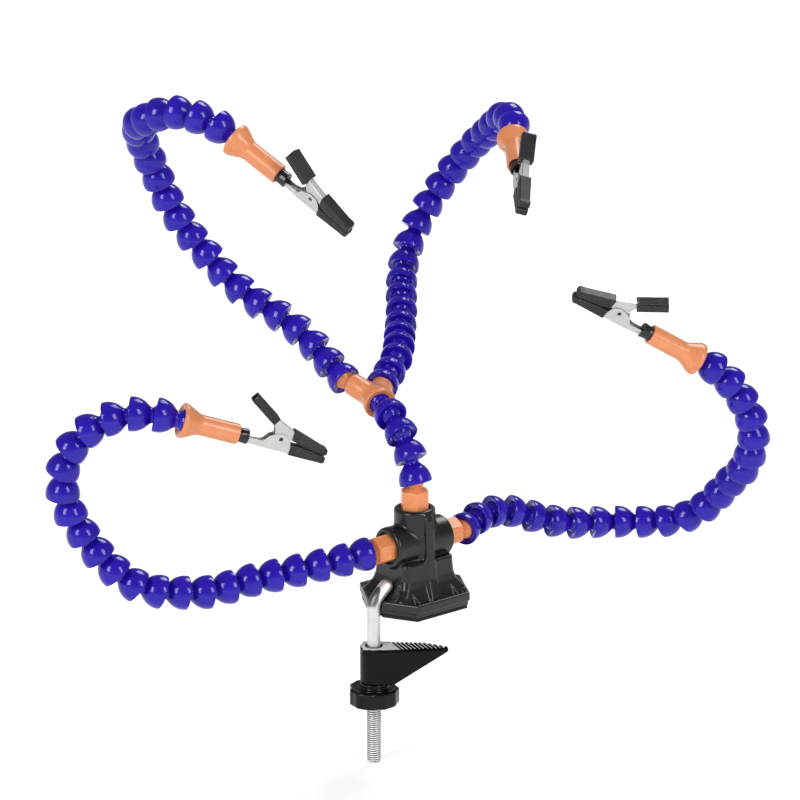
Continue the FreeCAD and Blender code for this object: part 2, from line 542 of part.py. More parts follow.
def clamp_knob():
    z1 = KNOB_TOP
    hub = Part.makeCylinder(KNOB_HUB_R, KNOB_HUB_H + 1.0, V(0, 0, z1 - KNOB_HUB_H - 1.0), V(0, 0, 1))
    zk = z1 - KNOB_HUB_H
    ring = Part.makeCylinder(KNOB_R, KNOB_H, V(0, 0, zk - KNOB_H), V(0, 0, 1))
    for i in range(KNOB_LOBES):
        a = math.radians(FLUTE_AT + 360.0 / KNOB_LOBES * i)
        ring = ring.cut(Part.makeCylinder(8.7, KNOB_H, V(20.95 * math.cos(a), 20.95 * math.sin(a), zk - KNOB_H), V(0, 0, 1)))
    # turned top and bottom edges of the lobes
    trim = Part.makeCylinder(KNOB_R, KNOB_H - 3.0, V(0, 0, zk - KNOB_H + 1.5), V(0, 0, 1))
    trim = trim.fuse(Part.makeCone(KNOB_R, KNOB_R - 1.5, 1.5, V(0, 0, zk - 1.5), V(0, 0, 1)))
    trim = trim.fuse(Part.makeCone(KNOB_R - 1.5, KNOB_R, 1.5, V(0, 0, zk - KNOB_H), V(0, 0, 1)))
    body = ring.common(trim).fuse(hub)
    body = body.cut(Part.makeCylinder(THREAD_R + 0.25, 40, V(0, 0, z1 - 30), V(0, 0, 1)))
    body.translate(V(ROD_X, ROD_Y, 0))
    body = body.cut(nut_room())
    return body.removeSplitter()


def nut_room():
    r = NUT_AF / math.sqrt(3.0)
    z1 = KNOB_TOP - 0.6
    pts = [(ROD_X + r * math.cos(math.radians(60 * i)), ROD_Y + r * math.sin(math.radians(60 * i))) for i in range(6)]
    return poly(pts, z1 - 8.0, z1)


# ------------------------------------------------------- nozzles and clips
def nozzle():
    """Local origin at the socket centre, x towards the mouth."""
    xs, e = socket_edges()
    xt = 6.4
    e = list(e)
    e += [three((-SKIRT_BACK + 0.3, 8.92), (-2.2, LINK_R), (-0.6, 8.6)), seg((-0.6, 8.6), (5.4, 5.72)),
          seg((5.4, 5.72), (xt, TUBE_R)), seg((xt, TUBE_R), (NOZZLE_L - 0.4, TUBE_R)),
          seg((NOZZLE_L - 0.4, TUBE_R), (NOZZLE_L, TUBE_R - 0.4)), seg((NOZZLE_L, TUBE_R - 0.4), (NOZZLE_L, NOZZLE_BORE_R)),
          seg((NOZZLE_L, NOZZLE_BORE_R), (13.5, NOZZLE_BORE_R)), seg((13.5, NOZZLE_BORE_R), (12.5, BORE_R)),
          seg((12.5, BORE_R), (xs, BORE_R))]
    return revolve_x(e)


NOZZLE = nozzle()

# Clip frame: origin at the centre of the nozzle mouth, x towards the jaw
# tips, y to the thumb-handle side, z along the pivot pin.
FIXED_SIDE = [(-9.5, -3.0), (14.2, -3.0), (27.1, -3.2), (46.2, -3.3), (46.2, -0.9), (28.0, 1.0),
              (27.1, 3.3), (25.4, 5.5), (22.0, 6.4), (18.5, 5.5), (15.7, 4.0), (13.5, 0.9), (11.3, 0.3), (-9.5, 0.3)]
MOVING_SIDE = [(3.2, 19.6), (16.1, 11.3), (17.4, 8.1), (18.9, 2.3), (20.6, 1.0), (23.4, 1.0), (26.7, 3.9),
               (46.2, 1.3), (46.2, 3.5), (28.2, 8.8), (18.3, 13.1), (4.3, 21.6)]


def plan_prism(points):
    """Prism of a local XZ plan outline (x, half width), symmetric about z = 0, through all y."""
    pts = [V(x, -20, -w) for x, w in points] + [V(x, -20, w) for x, w in reversed(points)]
    return Part.Face(Part.makePolygon(pts + [pts[0]])).extrude(V(0, 60, 0))


def clip_fixed():
    h = CLIP_W / 2
    solid = prism_z(FIXED_SIDE, h).common(plan_prism([(-15, TAIL_W / 2), (9.7, TAIL_W / 2), (14.5, h), (60, h)]))
    # channel: the web is along the lower edge
    room = [(-12.0, -3.0 + SHEET), (14.2, -3.0 + SHEET), (27.1, -3.2 + SHEET), (48.0, -3.3 + SHEET), (48.0, 12.0), (-12.0, 12.0)]
    inner = prism_z(room, h).common(plan_prism([(-15, TAIL_W / 2 - SHEET), (9.7, TAIL_W / 2 - SHEET), (14.5, h - SHEET), (60, h - SHEET)]))
    solid = solid.cut(inner)
    solid = solid.cut(Part.makeCylinder(PIN_R, 20, V(PIVOT[0], PIVOT[1], -10), V(0, 0, 1)))
    return solid


def clip_moving():
    solid = prism_z(MOVING_SIDE, MOVING_W / 2)
    # channel: the web is along the upper edge
    t = 0.85 * SHEET
    room = [(2.6, 20.0 - t), (3.9, 21.5 - 1.2 * t), (18.1, 13.1 - 1.15 * t), (28.0, 8.8 - 1.1 * t), (48.2, 2.95 - 1.1 * t), (48.2, -5.0), (2.6, -5.0)]
    solid = solid.cut(prism_z(room, MOVING_W / 2 - t))
    solid = solid.cut(Part.makeCylinder(PIN_R + 0.05, 20, V(PIVOT[0], PIVOT[1], -10), V(0, 0, 1)))
    return solid


def clip_pin():
    p = Part.makeCylinder(PIN_R, CLIP_W, V(PIVOT[0], PIVOT[1], -CLIP_W / 2), V(0, 0, 1))
    for s in (1, -1):
        h = Part.makeCylinder(1.5, 0.35, V(PIVOT[0], PIVOT[1], s * CLIP_W / 2), V(0, 0, s))
        p = p.fuse(h)
    return p.removeSplitter()


def clip_spring():
    """Torsion spring: a closed coil round the pin with two straight legs."""
    w = 1.15
    coil = Part.makeCylinder(1.85, 2 * w, V(PIVOT[0], PIVOT[1], -w), V(0, 0, 1))
    coil = coil.cut(Part.makeCylinder(PIN_R + 0.12, 4 * w, V(PIVOT[0], PIVOT[1], -2 * w), V(0, 0, 1)))
    px, py = PIVOT
    # lower leg lies on the floor of the fixed channel
    low = Part.makeCylinder(0.35, 11.0, V(px - 0.4, py - 1.5, -w + 0.36), V(-1, -0.235, 0))
    up = Part.makeCylinder(0.35, 7.2, V(px - 1.2, py + 1.1, w - 0.36), V(-0.31, 0.95, 0))
    return coil.fuse(low).fuse(up).removeSplitter()


def along(p, q, half_p, half_q, r=0.0):
    """Four-sided outline about the line p-q with given half thicknesses."""
    dx, dy = q[0] - p[0], q[1] - p[1]
    l = math.hypot(dx, dy)
    nx, ny = -dy / l, dx / l
    return [(p[0] - nx * half_p, p[1] - ny * half_p), (q[0] - nx * half_q, q[1] - ny * half_q),
            (q[0] + nx * half_q, q[1] + ny * half_q), (p[0] + nx * half_p, p[1] + ny * half_p)]


def sleeve_box(outline, half_w, chamf=0.7):
    s = prism_z(outline, half_w)
    edges = []
    for e in s.Edges:
        if len(e.Vertexes) == 2:
            a, b = e.Vertexes[0].Point, e.Vertexes[1].Point
            if abs(abs(a.z) - half_w) < 1e-6 and abs(a.z - b.z) < 1e-6 and (b - a).Length > 8:
                edges.append(e)
    try:
        s2 = s.makeFillet(chamf, edges)
        if s2.isValid() and s2.Volume > 0:
            return s2
    except Exception:
        pass
    return s


def clip_sleeves(fixed, moving):
    pin_room = Part.makeCylinder(2.4, 20, V(PIVOT[0], PIVOT[1], -10), V(0, 0, 1))
    tail = Part.makeCylinder(NOZZLE_BORE_R - 0.05, 12.5, V(-8.0, 0, 0), V(1, 0, 0))
    tail_hole = prism_z([(-14, -3.0), (10, -3.0), (10, 0.3), (-14, 0.3)], TAIL_W / 2)
    tail = tail.cut(tail_hole)
    ears = None
    fj = sleeve_box([(27.9, -3.75), (46.9, -3.95), (47.8, -3.3), (47.8, -0.75), (47.0, 0.05), (33.6, 1.95), (27.9, 1.95)], 3.3)
    fj = fj.cut(prism_z([(21.0, -3.2), (27.1, -3.2), (46.2, -3.3), (46.2, -0.9), (28.0, 1.0), (27.1, 3.3), (21.0, 3.3)], CLIP_W / 2))
    mj = sleeve_box([(27.9, 4.2), (31.4, 3.1), (33.6, 2.3), (47.0, 0.4), (47.8, 1.1), (47.8, 3.7), (47.1, 4.3), (27.9, 9.95)], 3.3)
    mj = mj.cut(prism_z([(21.0, 4.6), (26.7, 3.9), (46.2, 1.3), (46.2, 3.5), (28.2, 8.8), (21.0, 12.2)], MOVING_W / 2))
    hd = sleeve_box(along((2.7, 21.2), (17.1, 11.95), 2.6, 2.6), 4.15)
    hd = hd.cut(prism_z([(3.2, 19.6), (16.1, 11.3), (17.4, 8.1), (21.0, 8.1), (21.0, 11.9), (18.3, 13.1), (4.3, 21.6)], MOVING_W / 2))
    return tail, fj, mj, hd


# ------------------------------------------------------------------ writing
save("base_body", base_body())
save("base_pad", base_pad())
save("fitting_left", placed(FITTING, frame(V(-PORT_X, 0, PORT_Z), V(-1, 0, 0))))
save("fitting_right", placed(FITTING, frame(V(PORT_X, 0, PORT_Z), V(1, 0, 0))))
save("fitting_top", placed(FITTING, frame(V(0, 0, PORT_TOP), V(0, 0, 1), V(1, 0, 0))))

save("clamp_rod", clamp_rod())
save("clamp_jaw", clamp_jaw())
save("clamp_knob", clamp_knob())
save("knob_nut", knob_nut())

save("stem_links_a", link_group(STEM_CENTRES, 0, 2))
save("stem_links_b", link_group(STEM_CENTRES, 2, 4))
save("y_fitting", placed(y_fitting(), frame(vec(STEM_CENTRES[4]), vec(Y_AXIS), vec(Y_SPREAD))))

FIX = clip_fixed()
MOV = clip_moving()
PIN = clip_pin()
SPR = clip_spring()
TAIL, FJ, MJ, HD = clip_sleeves(FIX, MOV)

for arm, (centres, ndir, side) in ARMS.items():
    a, b, c = GROUPS[arm]
    save(arm + "_links_a", link_group(centres, a, b))
    save(arm + "_links_b", link_group(centres, b, c))
    save(arm + "_links_c", link_group(centres, c, len(centres) - 1))
    sock = vec(centres[-1])
    n = unit(vec(ndir))
    save(arm + "_nozzle", placed(NOZZLE, frame(sock, n, vec(side))))
    pl = frame(sock + n * NOZZLE_L, n, vec(side))
    save(arm + "_fixed_jaw", placed(FIX, pl))
    save(arm + "_moving_jaw", placed(MOV, pl))
    save(arm + "_clip_pin", placed(PIN, pl))
    save(arm + "_clip_spring", placed(SPR, pl))
    save(arm + "_tail_sleeve", placed(TAIL, pl))
    save(arm + "_fixed_sleeve", placed(FJ, pl))
    save(arm + "_moving_sleeve", placed(MJ, pl))
    save(arm + "_handle_sleeve", placed(HD, pl))
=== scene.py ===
import math

import bpy
import numpy as np
from mathutils import Matrix, Vector


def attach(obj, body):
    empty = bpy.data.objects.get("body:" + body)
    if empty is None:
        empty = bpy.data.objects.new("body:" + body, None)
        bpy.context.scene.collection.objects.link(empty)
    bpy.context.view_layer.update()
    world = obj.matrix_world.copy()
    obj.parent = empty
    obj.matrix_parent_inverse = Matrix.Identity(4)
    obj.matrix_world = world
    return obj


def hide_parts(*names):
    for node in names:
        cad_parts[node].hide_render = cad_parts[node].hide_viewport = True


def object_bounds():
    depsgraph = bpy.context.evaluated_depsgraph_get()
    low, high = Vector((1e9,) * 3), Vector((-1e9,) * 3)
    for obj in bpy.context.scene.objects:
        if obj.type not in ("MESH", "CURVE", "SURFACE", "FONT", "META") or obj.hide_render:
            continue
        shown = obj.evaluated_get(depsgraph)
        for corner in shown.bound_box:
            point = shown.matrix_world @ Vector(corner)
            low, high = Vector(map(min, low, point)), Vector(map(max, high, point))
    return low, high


# Flexible-arm third hand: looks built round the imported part.  Shapes are
# worked out in millimetres in the part's own frame and scaled on the way in.

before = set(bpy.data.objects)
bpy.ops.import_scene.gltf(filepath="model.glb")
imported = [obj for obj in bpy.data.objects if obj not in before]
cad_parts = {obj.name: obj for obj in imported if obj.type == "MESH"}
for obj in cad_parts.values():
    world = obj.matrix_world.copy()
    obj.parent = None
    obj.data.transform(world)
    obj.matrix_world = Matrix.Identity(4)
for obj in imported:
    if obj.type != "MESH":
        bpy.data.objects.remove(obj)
CAD_LO, CAD_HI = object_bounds()
MM = 0.001
FINE = 1.0

# sizes shared with the part, millimetres
PITCH, LINK_R, BALL_R, SOCKET_R, RIM_BACK, SKIRT_BACK = 13.0, 9.0, 6.2, 6.3, 2.8, 3.7
NECK_R, BORE_R, BALL_FRONT = 4.1, 3.2, 4.0
FLANGE = [(18.0, -25.0), (32.0, 0.0), (18.0, 25.0), (-18.0, 25.0), (-32.0, 0.0), (-18.0, -25.0)]
PAD_T, FLANGE_TOP, RIM_W, RECESS_FLOOR = 2.0, 9.5, 2.6, 4.6
PORT_Z, PORT_R, PORT_X, PORT_TOP, PORT_BORE_R = 35.7, 11.2, 19.2, 55.2, 6.55
MOUTH_R = 8.45
FIT_LEN, HEX_AF, HEX_L = 16.7, 13.8, 9.9
Y_LEG, Y_HALF = 26.0, 30.0
ROD_X, ROD_Y, ROD_R, THREAD_R = -30.5, -3.0, 3.6, 3.95
ROD_BOTTOM, THREAD_TOP, THREAD_PITCH = -82.0, -20.0, 1.25
HOOK_START, HOOK_BEND_R, HOOK_ANGLE, HOOK_STRAIGHT, NOTCH_R = 4.8, 9.0, 50.0, 6.6, 4.0
JAW_TOP, JAW_H, JAW_BOSS_R, JAW_REACH, JAW_TIP_T, JAW_W, JAW_ANGLE, JAW_BORE_R = -16.0, 20.0, 7.4, 40.0, 2.0, 15.0, -39.0, 4.05
KNOB_TOP = JAW_TOP - JAW_H - 0.3
KNOB_HUB_R, KNOB_HUB_H, KNOB_R, KNOB_H = 7.4, 3.0, 13.7, 9.2
KNOB_FLUTES, FLUTE_AT, KNOB_DEEP = 11, -120.6, (0, 3, 6, 8)
NOZZLE_L, TUBE_R, NOZZLE_BORE_R = 27.3, 5.4, 4.1
SHEET, CLIP_W, TAIL_W, MOVING_W, PIN_R, PIVOT = 0.6, 5.4, 4.0, 4.0, 1.0, (22.0, 3.4)

STEM_CENTRES = [
    (0.00, 0.00, 71.90), (-0.42, 4.18, 84.20), (-0.44, 12.10, 94.51), (0.78, 22.77, 101.84),
    (3.09, 35.04, 105.45),
]
Y_AXIS = (0.27006, 0.93016, 0.24872)
Y_SPREAD = (-0.94378, 0.20458, 0.25967)
LEFT_CENTRES = [
    (-35.90, 0.00, 35.70), (-48.74, 1.85, 34.81), (-61.23, 5.29, 33.76), (-73.52, 9.35, 32.50),
    (-85.80, 13.43, 31.29), (-98.26, 17.02, 30.35), (-110.93, 19.57, 28.93), (-123.66, 22.16, 28.64),
    (-136.03, 25.80, 30.26), (-147.98, 30.34, 32.65), (-158.81, 35.49, 37.67), (-167.45, 40.63, 45.91),
    (-174.54, 45.11, 55.84), (-180.75, 48.70, 66.69), (-186.11, 51.23, 78.26), (-189.63, 51.82, 90.76),
    (-189.97, 49.67, 103.58), (-187.17, 44.93, 115.35), (-181.52, 38.06, 124.83), (-173.43, 30.05, 131.11),
    (-163.84, 21.63, 133.57), (-154.02, 13.14, 132.82), (-144.44, 4.85, 129.90),
]
LEFT_NOZZLE = (0.86346, -0.39302, -0.31617)
LEFT_HANDLE_SIDE = (0.26779, -0.17400, 0.94763)
RIGHT_CENTRES = [
    (35.90, 0.00, 35.70), (48.22, 3.67, 37.64), (61.08, 5.54, 37.75), (73.77, 4.08, 35.32),
    (85.42, 0.20, 31.05), (97.00, -4.31, 27.22), (109.02, -8.64, 24.83), (121.14, -13.21, 23.76),
    (132.60, -19.32, 23.15), (142.47, -27.77, 23.31), (150.20, -38.07, 25.14), (156.03, -48.73, 29.77),
    (160.07, -58.43, 37.42), (161.93, -67.17, 46.87), (161.79, -76.10, 56.31), (160.87, -85.29, 65.46),
    (158.65, -92.36, 76.14), (155.79, -97.08, 87.91), (151.27, -98.88, 99.97), (144.92, -98.11, 111.28),
    (137.37, -95.92, 121.63), (128.30, -92.50, 130.30), (118.03, -88.05, 136.92),
]
RIGHT_NOZZLE = (-0.76231, 0.40027, 0.50860)
RIGHT_HANDLE_SIDE = (0.20599, -0.59492, 0.77694)
REAR_LEFT_CENTRES = [
    (-3.10, 58.65, 114.42), (-3.75, 70.05, 120.64), (-5.49, 80.61, 128.01), (-9.20, 90.54, 135.54),
    (-14.69, 100.18, 142.32), (-21.13, 109.68, 148.41), (-27.32, 118.47, 155.72), (-33.28, 126.05, 164.44),
    (-39.20, 132.12, 174.30), (-45.64, 136.92, 184.52), (-51.75, 140.26, 195.49), (-57.53, 142.37, 206.95),
    (-62.76, 143.07, 218.83), (-68.58, 142.31, 230.43), (-75.19, 138.84, 241.07), (-82.06, 132.10, 249.81),
    (-87.74, 122.22, 256.06), (-90.67, 110.33, 260.44), (-90.98, 98.19, 265.06), (-88.45, 85.67, 267.47),
    (-84.31, 73.40, 266.26), (-79.29, 62.08, 262.29), (-74.78, 51.85, 255.66),
]
REAR_LEFT_NOZZLE = (0.36013, -0.76869, -0.52860)
REAR_LEFT_HANDLE_SIDE = (-0.20183, -0.61740, 0.76032)
REAR_RIGHT_CENTRES = [
    (21.44, 53.33, 107.67), (31.89, 60.13, 111.35), (41.99, 67.11, 115.64), (50.84, 76.12, 118.69),
    (59.23, 85.75, 121.15), (67.58, 95.19, 124.33), (75.46, 104.31, 129.20), (82.99, 113.58, 134.33),
    (90.54, 122.46, 140.09), (98.39, 130.04, 147.16), (106.51, 135.32, 155.83), (114.47, 137.55, 165.86),
    (121.63, 136.46, 176.65), (127.39, 132.35, 187.56), (131.43, 125.88, 198.08), (133.88, 117.62, 207.82),
    (134.33, 108.09, 216.65), (132.41, 97.52, 223.97), (129.03, 86.91, 230.68), (125.22, 76.01, 236.65),
    (120.00, 64.30, 238.76), (113.51, 53.18, 236.93), (105.64, 44.20, 231.79),
]
REAR_RIGHT_NOZZLE = (-0.57415, -0.77261, -0.27097)
REAR_RIGHT_HANDLE_SIDE = (0.06342, -0.37193, 0.92609)

ARMS = {
    "left": (LEFT_CENTRES, LEFT_NOZZLE, LEFT_HANDLE_SIDE),
    "right": (RIGHT_CENTRES, RIGHT_NOZZLE, RIGHT_HANDLE_SIDE),
    "rear_left": (REAR_LEFT_CENTRES, REAR_LEFT_NOZZLE, REAR_LEFT_HANDLE_SIDE),
    "rear_right": (REAR_RIGHT_CENTRES, REAR_RIGHT_NOZZLE, REAR_RIGHT_HANDLE_SIDE),
}
GROUPS = {"left": (0, 7, 14), "right": (0, 7, 14), "rear_left": (0, 8, 15), "rear_right": (0, 7, 15)}


# ---------------------------------------------------------------- placing
def unit(v):
    v = np.asarray(v, float)
    return v / np.linalg.norm(v)


def place(origin, xdir, ydir=None):
    """(3x3 whose columns are the local axes, origin): local x along xdir, local y near ydir."""
    x = unit(xdir)
    if ydir is None:
        ydir = (0, 0, 1) if abs(x[2]) < 0.9 else (0, 1, 0)
    y = np.asarray(ydir, float)
    y = unit(y - x * x.dot(y))
    return np.stack([x, y, np.cross(x, y)], 1), np.asarray(origin, float)


HOME = (np.eye(3), np.zeros(3))


def piece(name, body, parts, material, nodes=(), weighted=False):
    """One object from (verts, faces, placement) parts; it rides on body and stands for nodes.
    faces is an (n, 4) or (n, 3) array of vertex numbers."""
    vs, loops, starts, totals, base, at = [], [], [], [], 0, 0
    for v, f, (r, o) in parts:
        v = np.asarray(v, float)
        f = np.asarray(f, np.int64)
        vs.append((v @ r.T + o) * MM)
        k = f.shape[1]
        loops.append((f + base).ravel())
        starts.append(at + np.arange(len(f)) * k)
        totals.append(np.full(len(f), k))
        base += len(v)
        at += f.size
    vs, loops = np.concatenate(vs), np.concatenate(loops)
    starts, totals = np.concatenate(starts), np.concatenate(totals)
    me = bpy.data.meshes.new(name)
    me.vertices.add(len(vs))
    me.vertices.foreach_set("co", vs.astype(np.float32).ravel())
    me.loops.add(len(loops))
    me.loops.foreach_set("vertex_index", loops.astype(np.int32))
    me.polygons.add(len(starts))
    me.polygons.foreach_set("loop_start", starts.astype(np.int32))
    me.polygons.foreach_set("loop_total", totals.astype(np.int32))
    me.polygons.foreach_set("use_smooth", np.ones(len(starts), bool))
    me.update(calc_edges=True)
    me.validate()
    ob = bpy.data.objects.new(name, me)
    bpy.context.scene.collection.objects.link(ob)
    me.materials.append(material)
    if weighted:
        m = ob.modifiers.new("even_shading", "WEIGHTED_NORMAL")
        m.keep_sharp = True
        m.weight = 60
    if body is not None:
        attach(ob, body)
        if nodes:
            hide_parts(*nodes)
    return ob


# ------------------------------------------------------- profiles and turning
def fillet(points, radii, closed=True, steps=4):
    """Points of a 2D outline with its corners rounded by the given radii."""
    pts = [np.asarray(p, float) for p in points]
    n = len(pts)
    if not hasattr(radii, "__len__"):
        radii = [radii] * n
    out = []
    for i in range(n):
        p, r = pts[i], radii[i]
        if r <= 0 or (not closed and i in (0, n - 1)):
            out.append(p)
            continue
        a, b = pts[i - 1], pts[(i + 1) % n]
        u, w = a - p, b - p
        lu, lw = np.linalg.norm(u), np.linalg.norm(w)
        u, w = u / lu, w / lw
        ang = math.acos(max(-1, min(1, float(u @ w))))
        if ang > math.radians(176):
            out.append(p)
            continue
        t = min(r / math.tan(ang / 2), 0.49 * lu, 0.49 * lw)
        rr = t * math.tan(ang / 2)
        c = p + unit(u + w) * (rr / math.sin(ang / 2))
        s, e = p + u * t - c, p + w * t - c
        a0 = math.atan2(s[1], s[0])
        d = (math.atan2(e[1], e[0]) - a0 + math.pi) % (2 * math.pi) - math.pi
        for k in range(steps + 1):
            q = a0 + d * k / steps
            out.append(c + rr * np.array([math.cos(q), math.sin(q)]))
    return np.array(out)


def arc_pts(c, r, a0, a1, n):
    """n + 1 points on a circle, angles in degrees."""
    a = np.radians(np.linspace(a0, a1, n + 1))
    return np.stack([c[0] + r * np.cos(a), c[1] + r * np.sin(a)], 1)


def lathe(profile, n=56):
    """Closed profile of (x, r) turned about the local x axis."""
    p = np.asarray(profile, float)
    m = len(p)
    area = 0.5 * np.sum(p[:, 0] * np.roll(p[:, 1], -1) - np.roll(p[:, 0], -1) * p[:, 1])
    if area < 0:
        p = p[::-1]
    a = 2 * np.pi * np.arange(n) / n
    v = np.stack([np.repeat(p[:, 0][None], n, 0), np.cos(a)[:, None] * p[:, 1][None],
                  np.sin(a)[:, None] * p[:, 1][None]], 2).reshape(-1, 3)
    i, j = np.meshgrid(np.arange(n), np.arange(m), indexing="ij")
    i2, j2 = (i + 1) % n, (j + 1) % m
    q = np.stack([i * m + j, i * m + j2, i2 * m + j2, i2 * m + j], -1).reshape(-1, 4)
    return v, q[:, ::-1]


def sweep(path, radius, n=16, cap=True):
    """Round tube along a 3D path; radius is a number or one per point. Ends are closed domes when cap."""
    path = np.asarray(path, float)
    m = len(path)
    rad = np.full(m, float(radius)) if np.isscalar(radius) else np.asarray(radius, float)
    t = np.gradient(path, axis=0)
    t /= np.linalg.norm(t, axis=1)[:, None]
    ref = np.array([0, 0, 1.0]) if abs(t[0][2]) < 0.9 else np.array([1.0, 0, 0])
    u = unit(ref - t[0] * (ref @ t[0]))
    us = [u]
    for k in range(1, m):
        u = us[-1] - t[k] * (us[-1] @ t[k])
        us.append(unit(u))
    us = np.array(us)
    ws = np.cross(t, us)
    a = 2 * np.pi * np.arange(n) / n
    rings = path[:, None] + rad[:, None, None] * (np.cos(a)[None, :, None] * us[:, None] + np.sin(a)[None, :, None] * ws[:, None])
    if cap:
        def dome(c, tt, uu, ww, r, sgn):
            out = []
            for k in range(1, 6):
                q = math.radians(90 * k / 5.0 * 0.985)
                out.append(c + sgn * tt * r * math.sin(q) + r * math.cos(q) * (np.cos(a)[:, None] * uu + np.sin(a)[:, None] * ww))
            return out
        head = dome(path[0], t[0], us[0], ws[0], rad[0], -1)[::-1]
        tail = dome(path[-1], t[-1], us[-1], ws[-1], rad[-1], 1)
        rings = np.concatenate([np.array(head), rings, np.array(tail)])
    m = len(rings)
    v = rings.reshape(-1, 3)
    i, j = np.meshgrid(np.arange(m - 1), np.arange(n), indexing="ij")
    q = np.stack([i * n + j, i * n + (j + 1) % n, (i + 1) * n + (j + 1) % n, (i + 1) * n + j], -1).reshape(-1, 4)
    v = np.concatenate([v, rings[0].mean(0)[None], rings[-1].mean(0)[None]])
    c0, c1 = len(v) - 2, len(v) - 1
    e0 = np.stack([np.full(n, c0), (np.arange(n) + 1) % n, np.arange(n), np.arange(n)], 1)[:, :3]
    e1 = np.stack([np.full(n, c1), (m - 1) * n + np.arange(n), (m - 1) * n + (np.arange(n) + 1) % n], 1)
    return v, q, np.concatenate([e0, e1])


# ----------------------------------------------------- solid fields and nets
class Field:
    """Grid of points over a box, with distances worked out on it."""

    def __init__(self, lo, hi, h):
        self.h = h * FINE
        self.lo = np.asarray(lo, float) - 2.5 * self.h
        n = np.ceil((np.asarray(hi, float) + 2.5 * self.h - self.lo) / self.h).astype(int) + 1
        ax = [(self.lo[k] + self.h * np.arange(n[k])).astype(np.float32) for k in range(3)]
        self.x, self.y, self.z = ax[0][:, None, None], ax[1][None, :, None], ax[2][None, None, :]
        self.n = n

    def mesh(self, f, thin=1.0):
        """Vertices and faces of the surface f = 0, f negative inside."""
        f = np.broadcast_to(f, self.n).astype(np.float32)
        s = f < 0
        cells = np.array(f.shape) - 1
        pos, cid, quads = [], [], []
        for ax in range(3):
            a, b = [slice(None)] * 3, [slice(None)] * 3
            a[ax], b[ax] = slice(0, -1), slice(1, None)
            idx = np.argwhere(s[tuple(a)] != s[tuple(b)])
            nx = idx.copy()
            nx[:, ax] += 1
            f0, f1 = f[tuple(idx.T)], f[tuple(nx.T)]
            p = idx.astype(float)
            p[:, ax] += f0 / (f0 - f1)
            bb, cc = (ax + 1) % 3, (ax + 2) % 3
            ring = []
            for db, dc in ((0, 0), (-1, 0), (-1, -1), (0, -1)):
                c = idx.copy()
                c[:, bb] += db
                c[:, cc] += dc
                lin = (c[:, 0] * cells[1] + c[:, 1]) * cells[2] + c[:, 2]
                ring.append(lin)
                pos.append(p)
                cid.append(lin)
            q = np.stack(ring, 1)
            q[f0 >= 0] = q[f0 >= 0][:, ::-1]
            quads.append(q)
        pos, cid, quads = np.concatenate(pos), np.concatenate(cid), np.concatenate(quads)
        keys, inv = np.unique(cid, return_inverse=True)
        cnt = np.bincount(inv)
        v = np.stack([np.bincount(inv, pos[:, k]) / cnt for k in range(3)], 1)
        v = v * self.h + self.lo
        faces = np.searchsorted(keys, quads)
        return decimated(v, faces, thin) if thin < 1 else (v, faces)


def decimated(v, faces, ratio):
    me = bpy.data.meshes.new("tmp")
    me.from_pydata((v * MM).tolist(), [], faces.tolist())
    ob = bpy.data.objects.new("tmp", me)
    bpy.context.scene.collection.objects.link(ob)
    m = ob.modifiers.new("thin", "DECIMATE")
    m.ratio = ratio
    m.use_collapse_triangulate = True
    got = ob.evaluated_get(bpy.context.evaluated_depsgraph_get()).to_mesh()
    out = np.zeros(len(got.vertices) * 3, np.float32)
    got.vertices.foreach_get("co", out)
    got.calc_loop_triangles()
    tri = np.zeros(len(got.loop_triangles) * 3, np.int32)
    got.loop_triangles.foreach_get("vertices", tri)
    ob.to_mesh_clear()
    bpy.data.objects.remove(ob)
    bpy.data.meshes.remove(me)
    return out.reshape(-1, 3).astype(float) / MM, tri.reshape(-1, 3)


def smin(a, b, k):
    if np.isscalar(k) and k <= 0:
        return np.minimum(a, b)
    h = np.maximum(k - np.abs(a - b), 0) / k
    return np.minimum(a, b) - h * h * k * 0.25


def smax(a, b, k):
    return -smin(-a, -b, k)


def hyp(a, b):
    return np.sqrt(a * a + b * b)


def outline(px, py, pts):
    """Signed distance to a closed 2D outline, negative inside."""
    px, py = np.broadcast_arrays(px, py)
    d = np.full(px.shape, 1e9, np.float32)
    inside = np.zeros(px.shape, bool)
    n = len(pts)
    for i in range(n):
        ax, ay = pts[i]
        bx, by = pts[(i + 1) % n]
        ex, ey = bx - ax, by - ay
        wx, wy = px - ax, py - ay
        t = np.clip((wx * ex + wy * ey) / (ex * ex + ey * ey + 1e-12), 0, 1)
        dx, dy = wx - ex * t, wy - ey * t
        d = np.minimum(d, dx * dx + dy * dy)
        if abs(by - ay) > 1e-9:
            c = ((ay > py) != (by > py)) & (px < ex * (py - ay) / (by - ay) + ax)
            inside ^= c
    d = np.sqrt(d)
    return np.where(inside, -d, d).astype(np.float32)


def slab(d2, w, half, r):
    """Solid of an outline distance d2 and |w| <= half, edges rounded by r."""
    a, b = d2 + r, np.abs(w) - half + r
    return np.minimum(np.maximum(a, b), 0) + hyp(np.maximum(a, 0), np.maximum(b, 0)) - r


def rounded_box2(x, y, ax, ay, r):
    qx, qy = np.abs(x) - ax + r, np.abs(y) - ay + r
    return np.minimum(np.maximum(qx, qy), 0) + hyp(np.maximum(qx, 0), np.maximum(qy, 0)) - r


def seg_dist(x, y, z, a, b):
    a, b = np.asarray(a, float), np.asarray(b, float)
    e = b - a
    t = np.clip(((x - a[0]) * e[0] + (y - a[1]) * e[1] + (z - a[2]) * e[2]) / (e @ e), 0, 1)
    return np.sqrt((x - a[0] - e[0] * t) ** 2 + (y - a[1] - e[1] * t) ** 2 + (z - a[2] - e[2] * t) ** 2)


def circle_at(radius, x=None, r=None):
    return math.sqrt(radius * radius - (x if x is not None else r) ** 2)


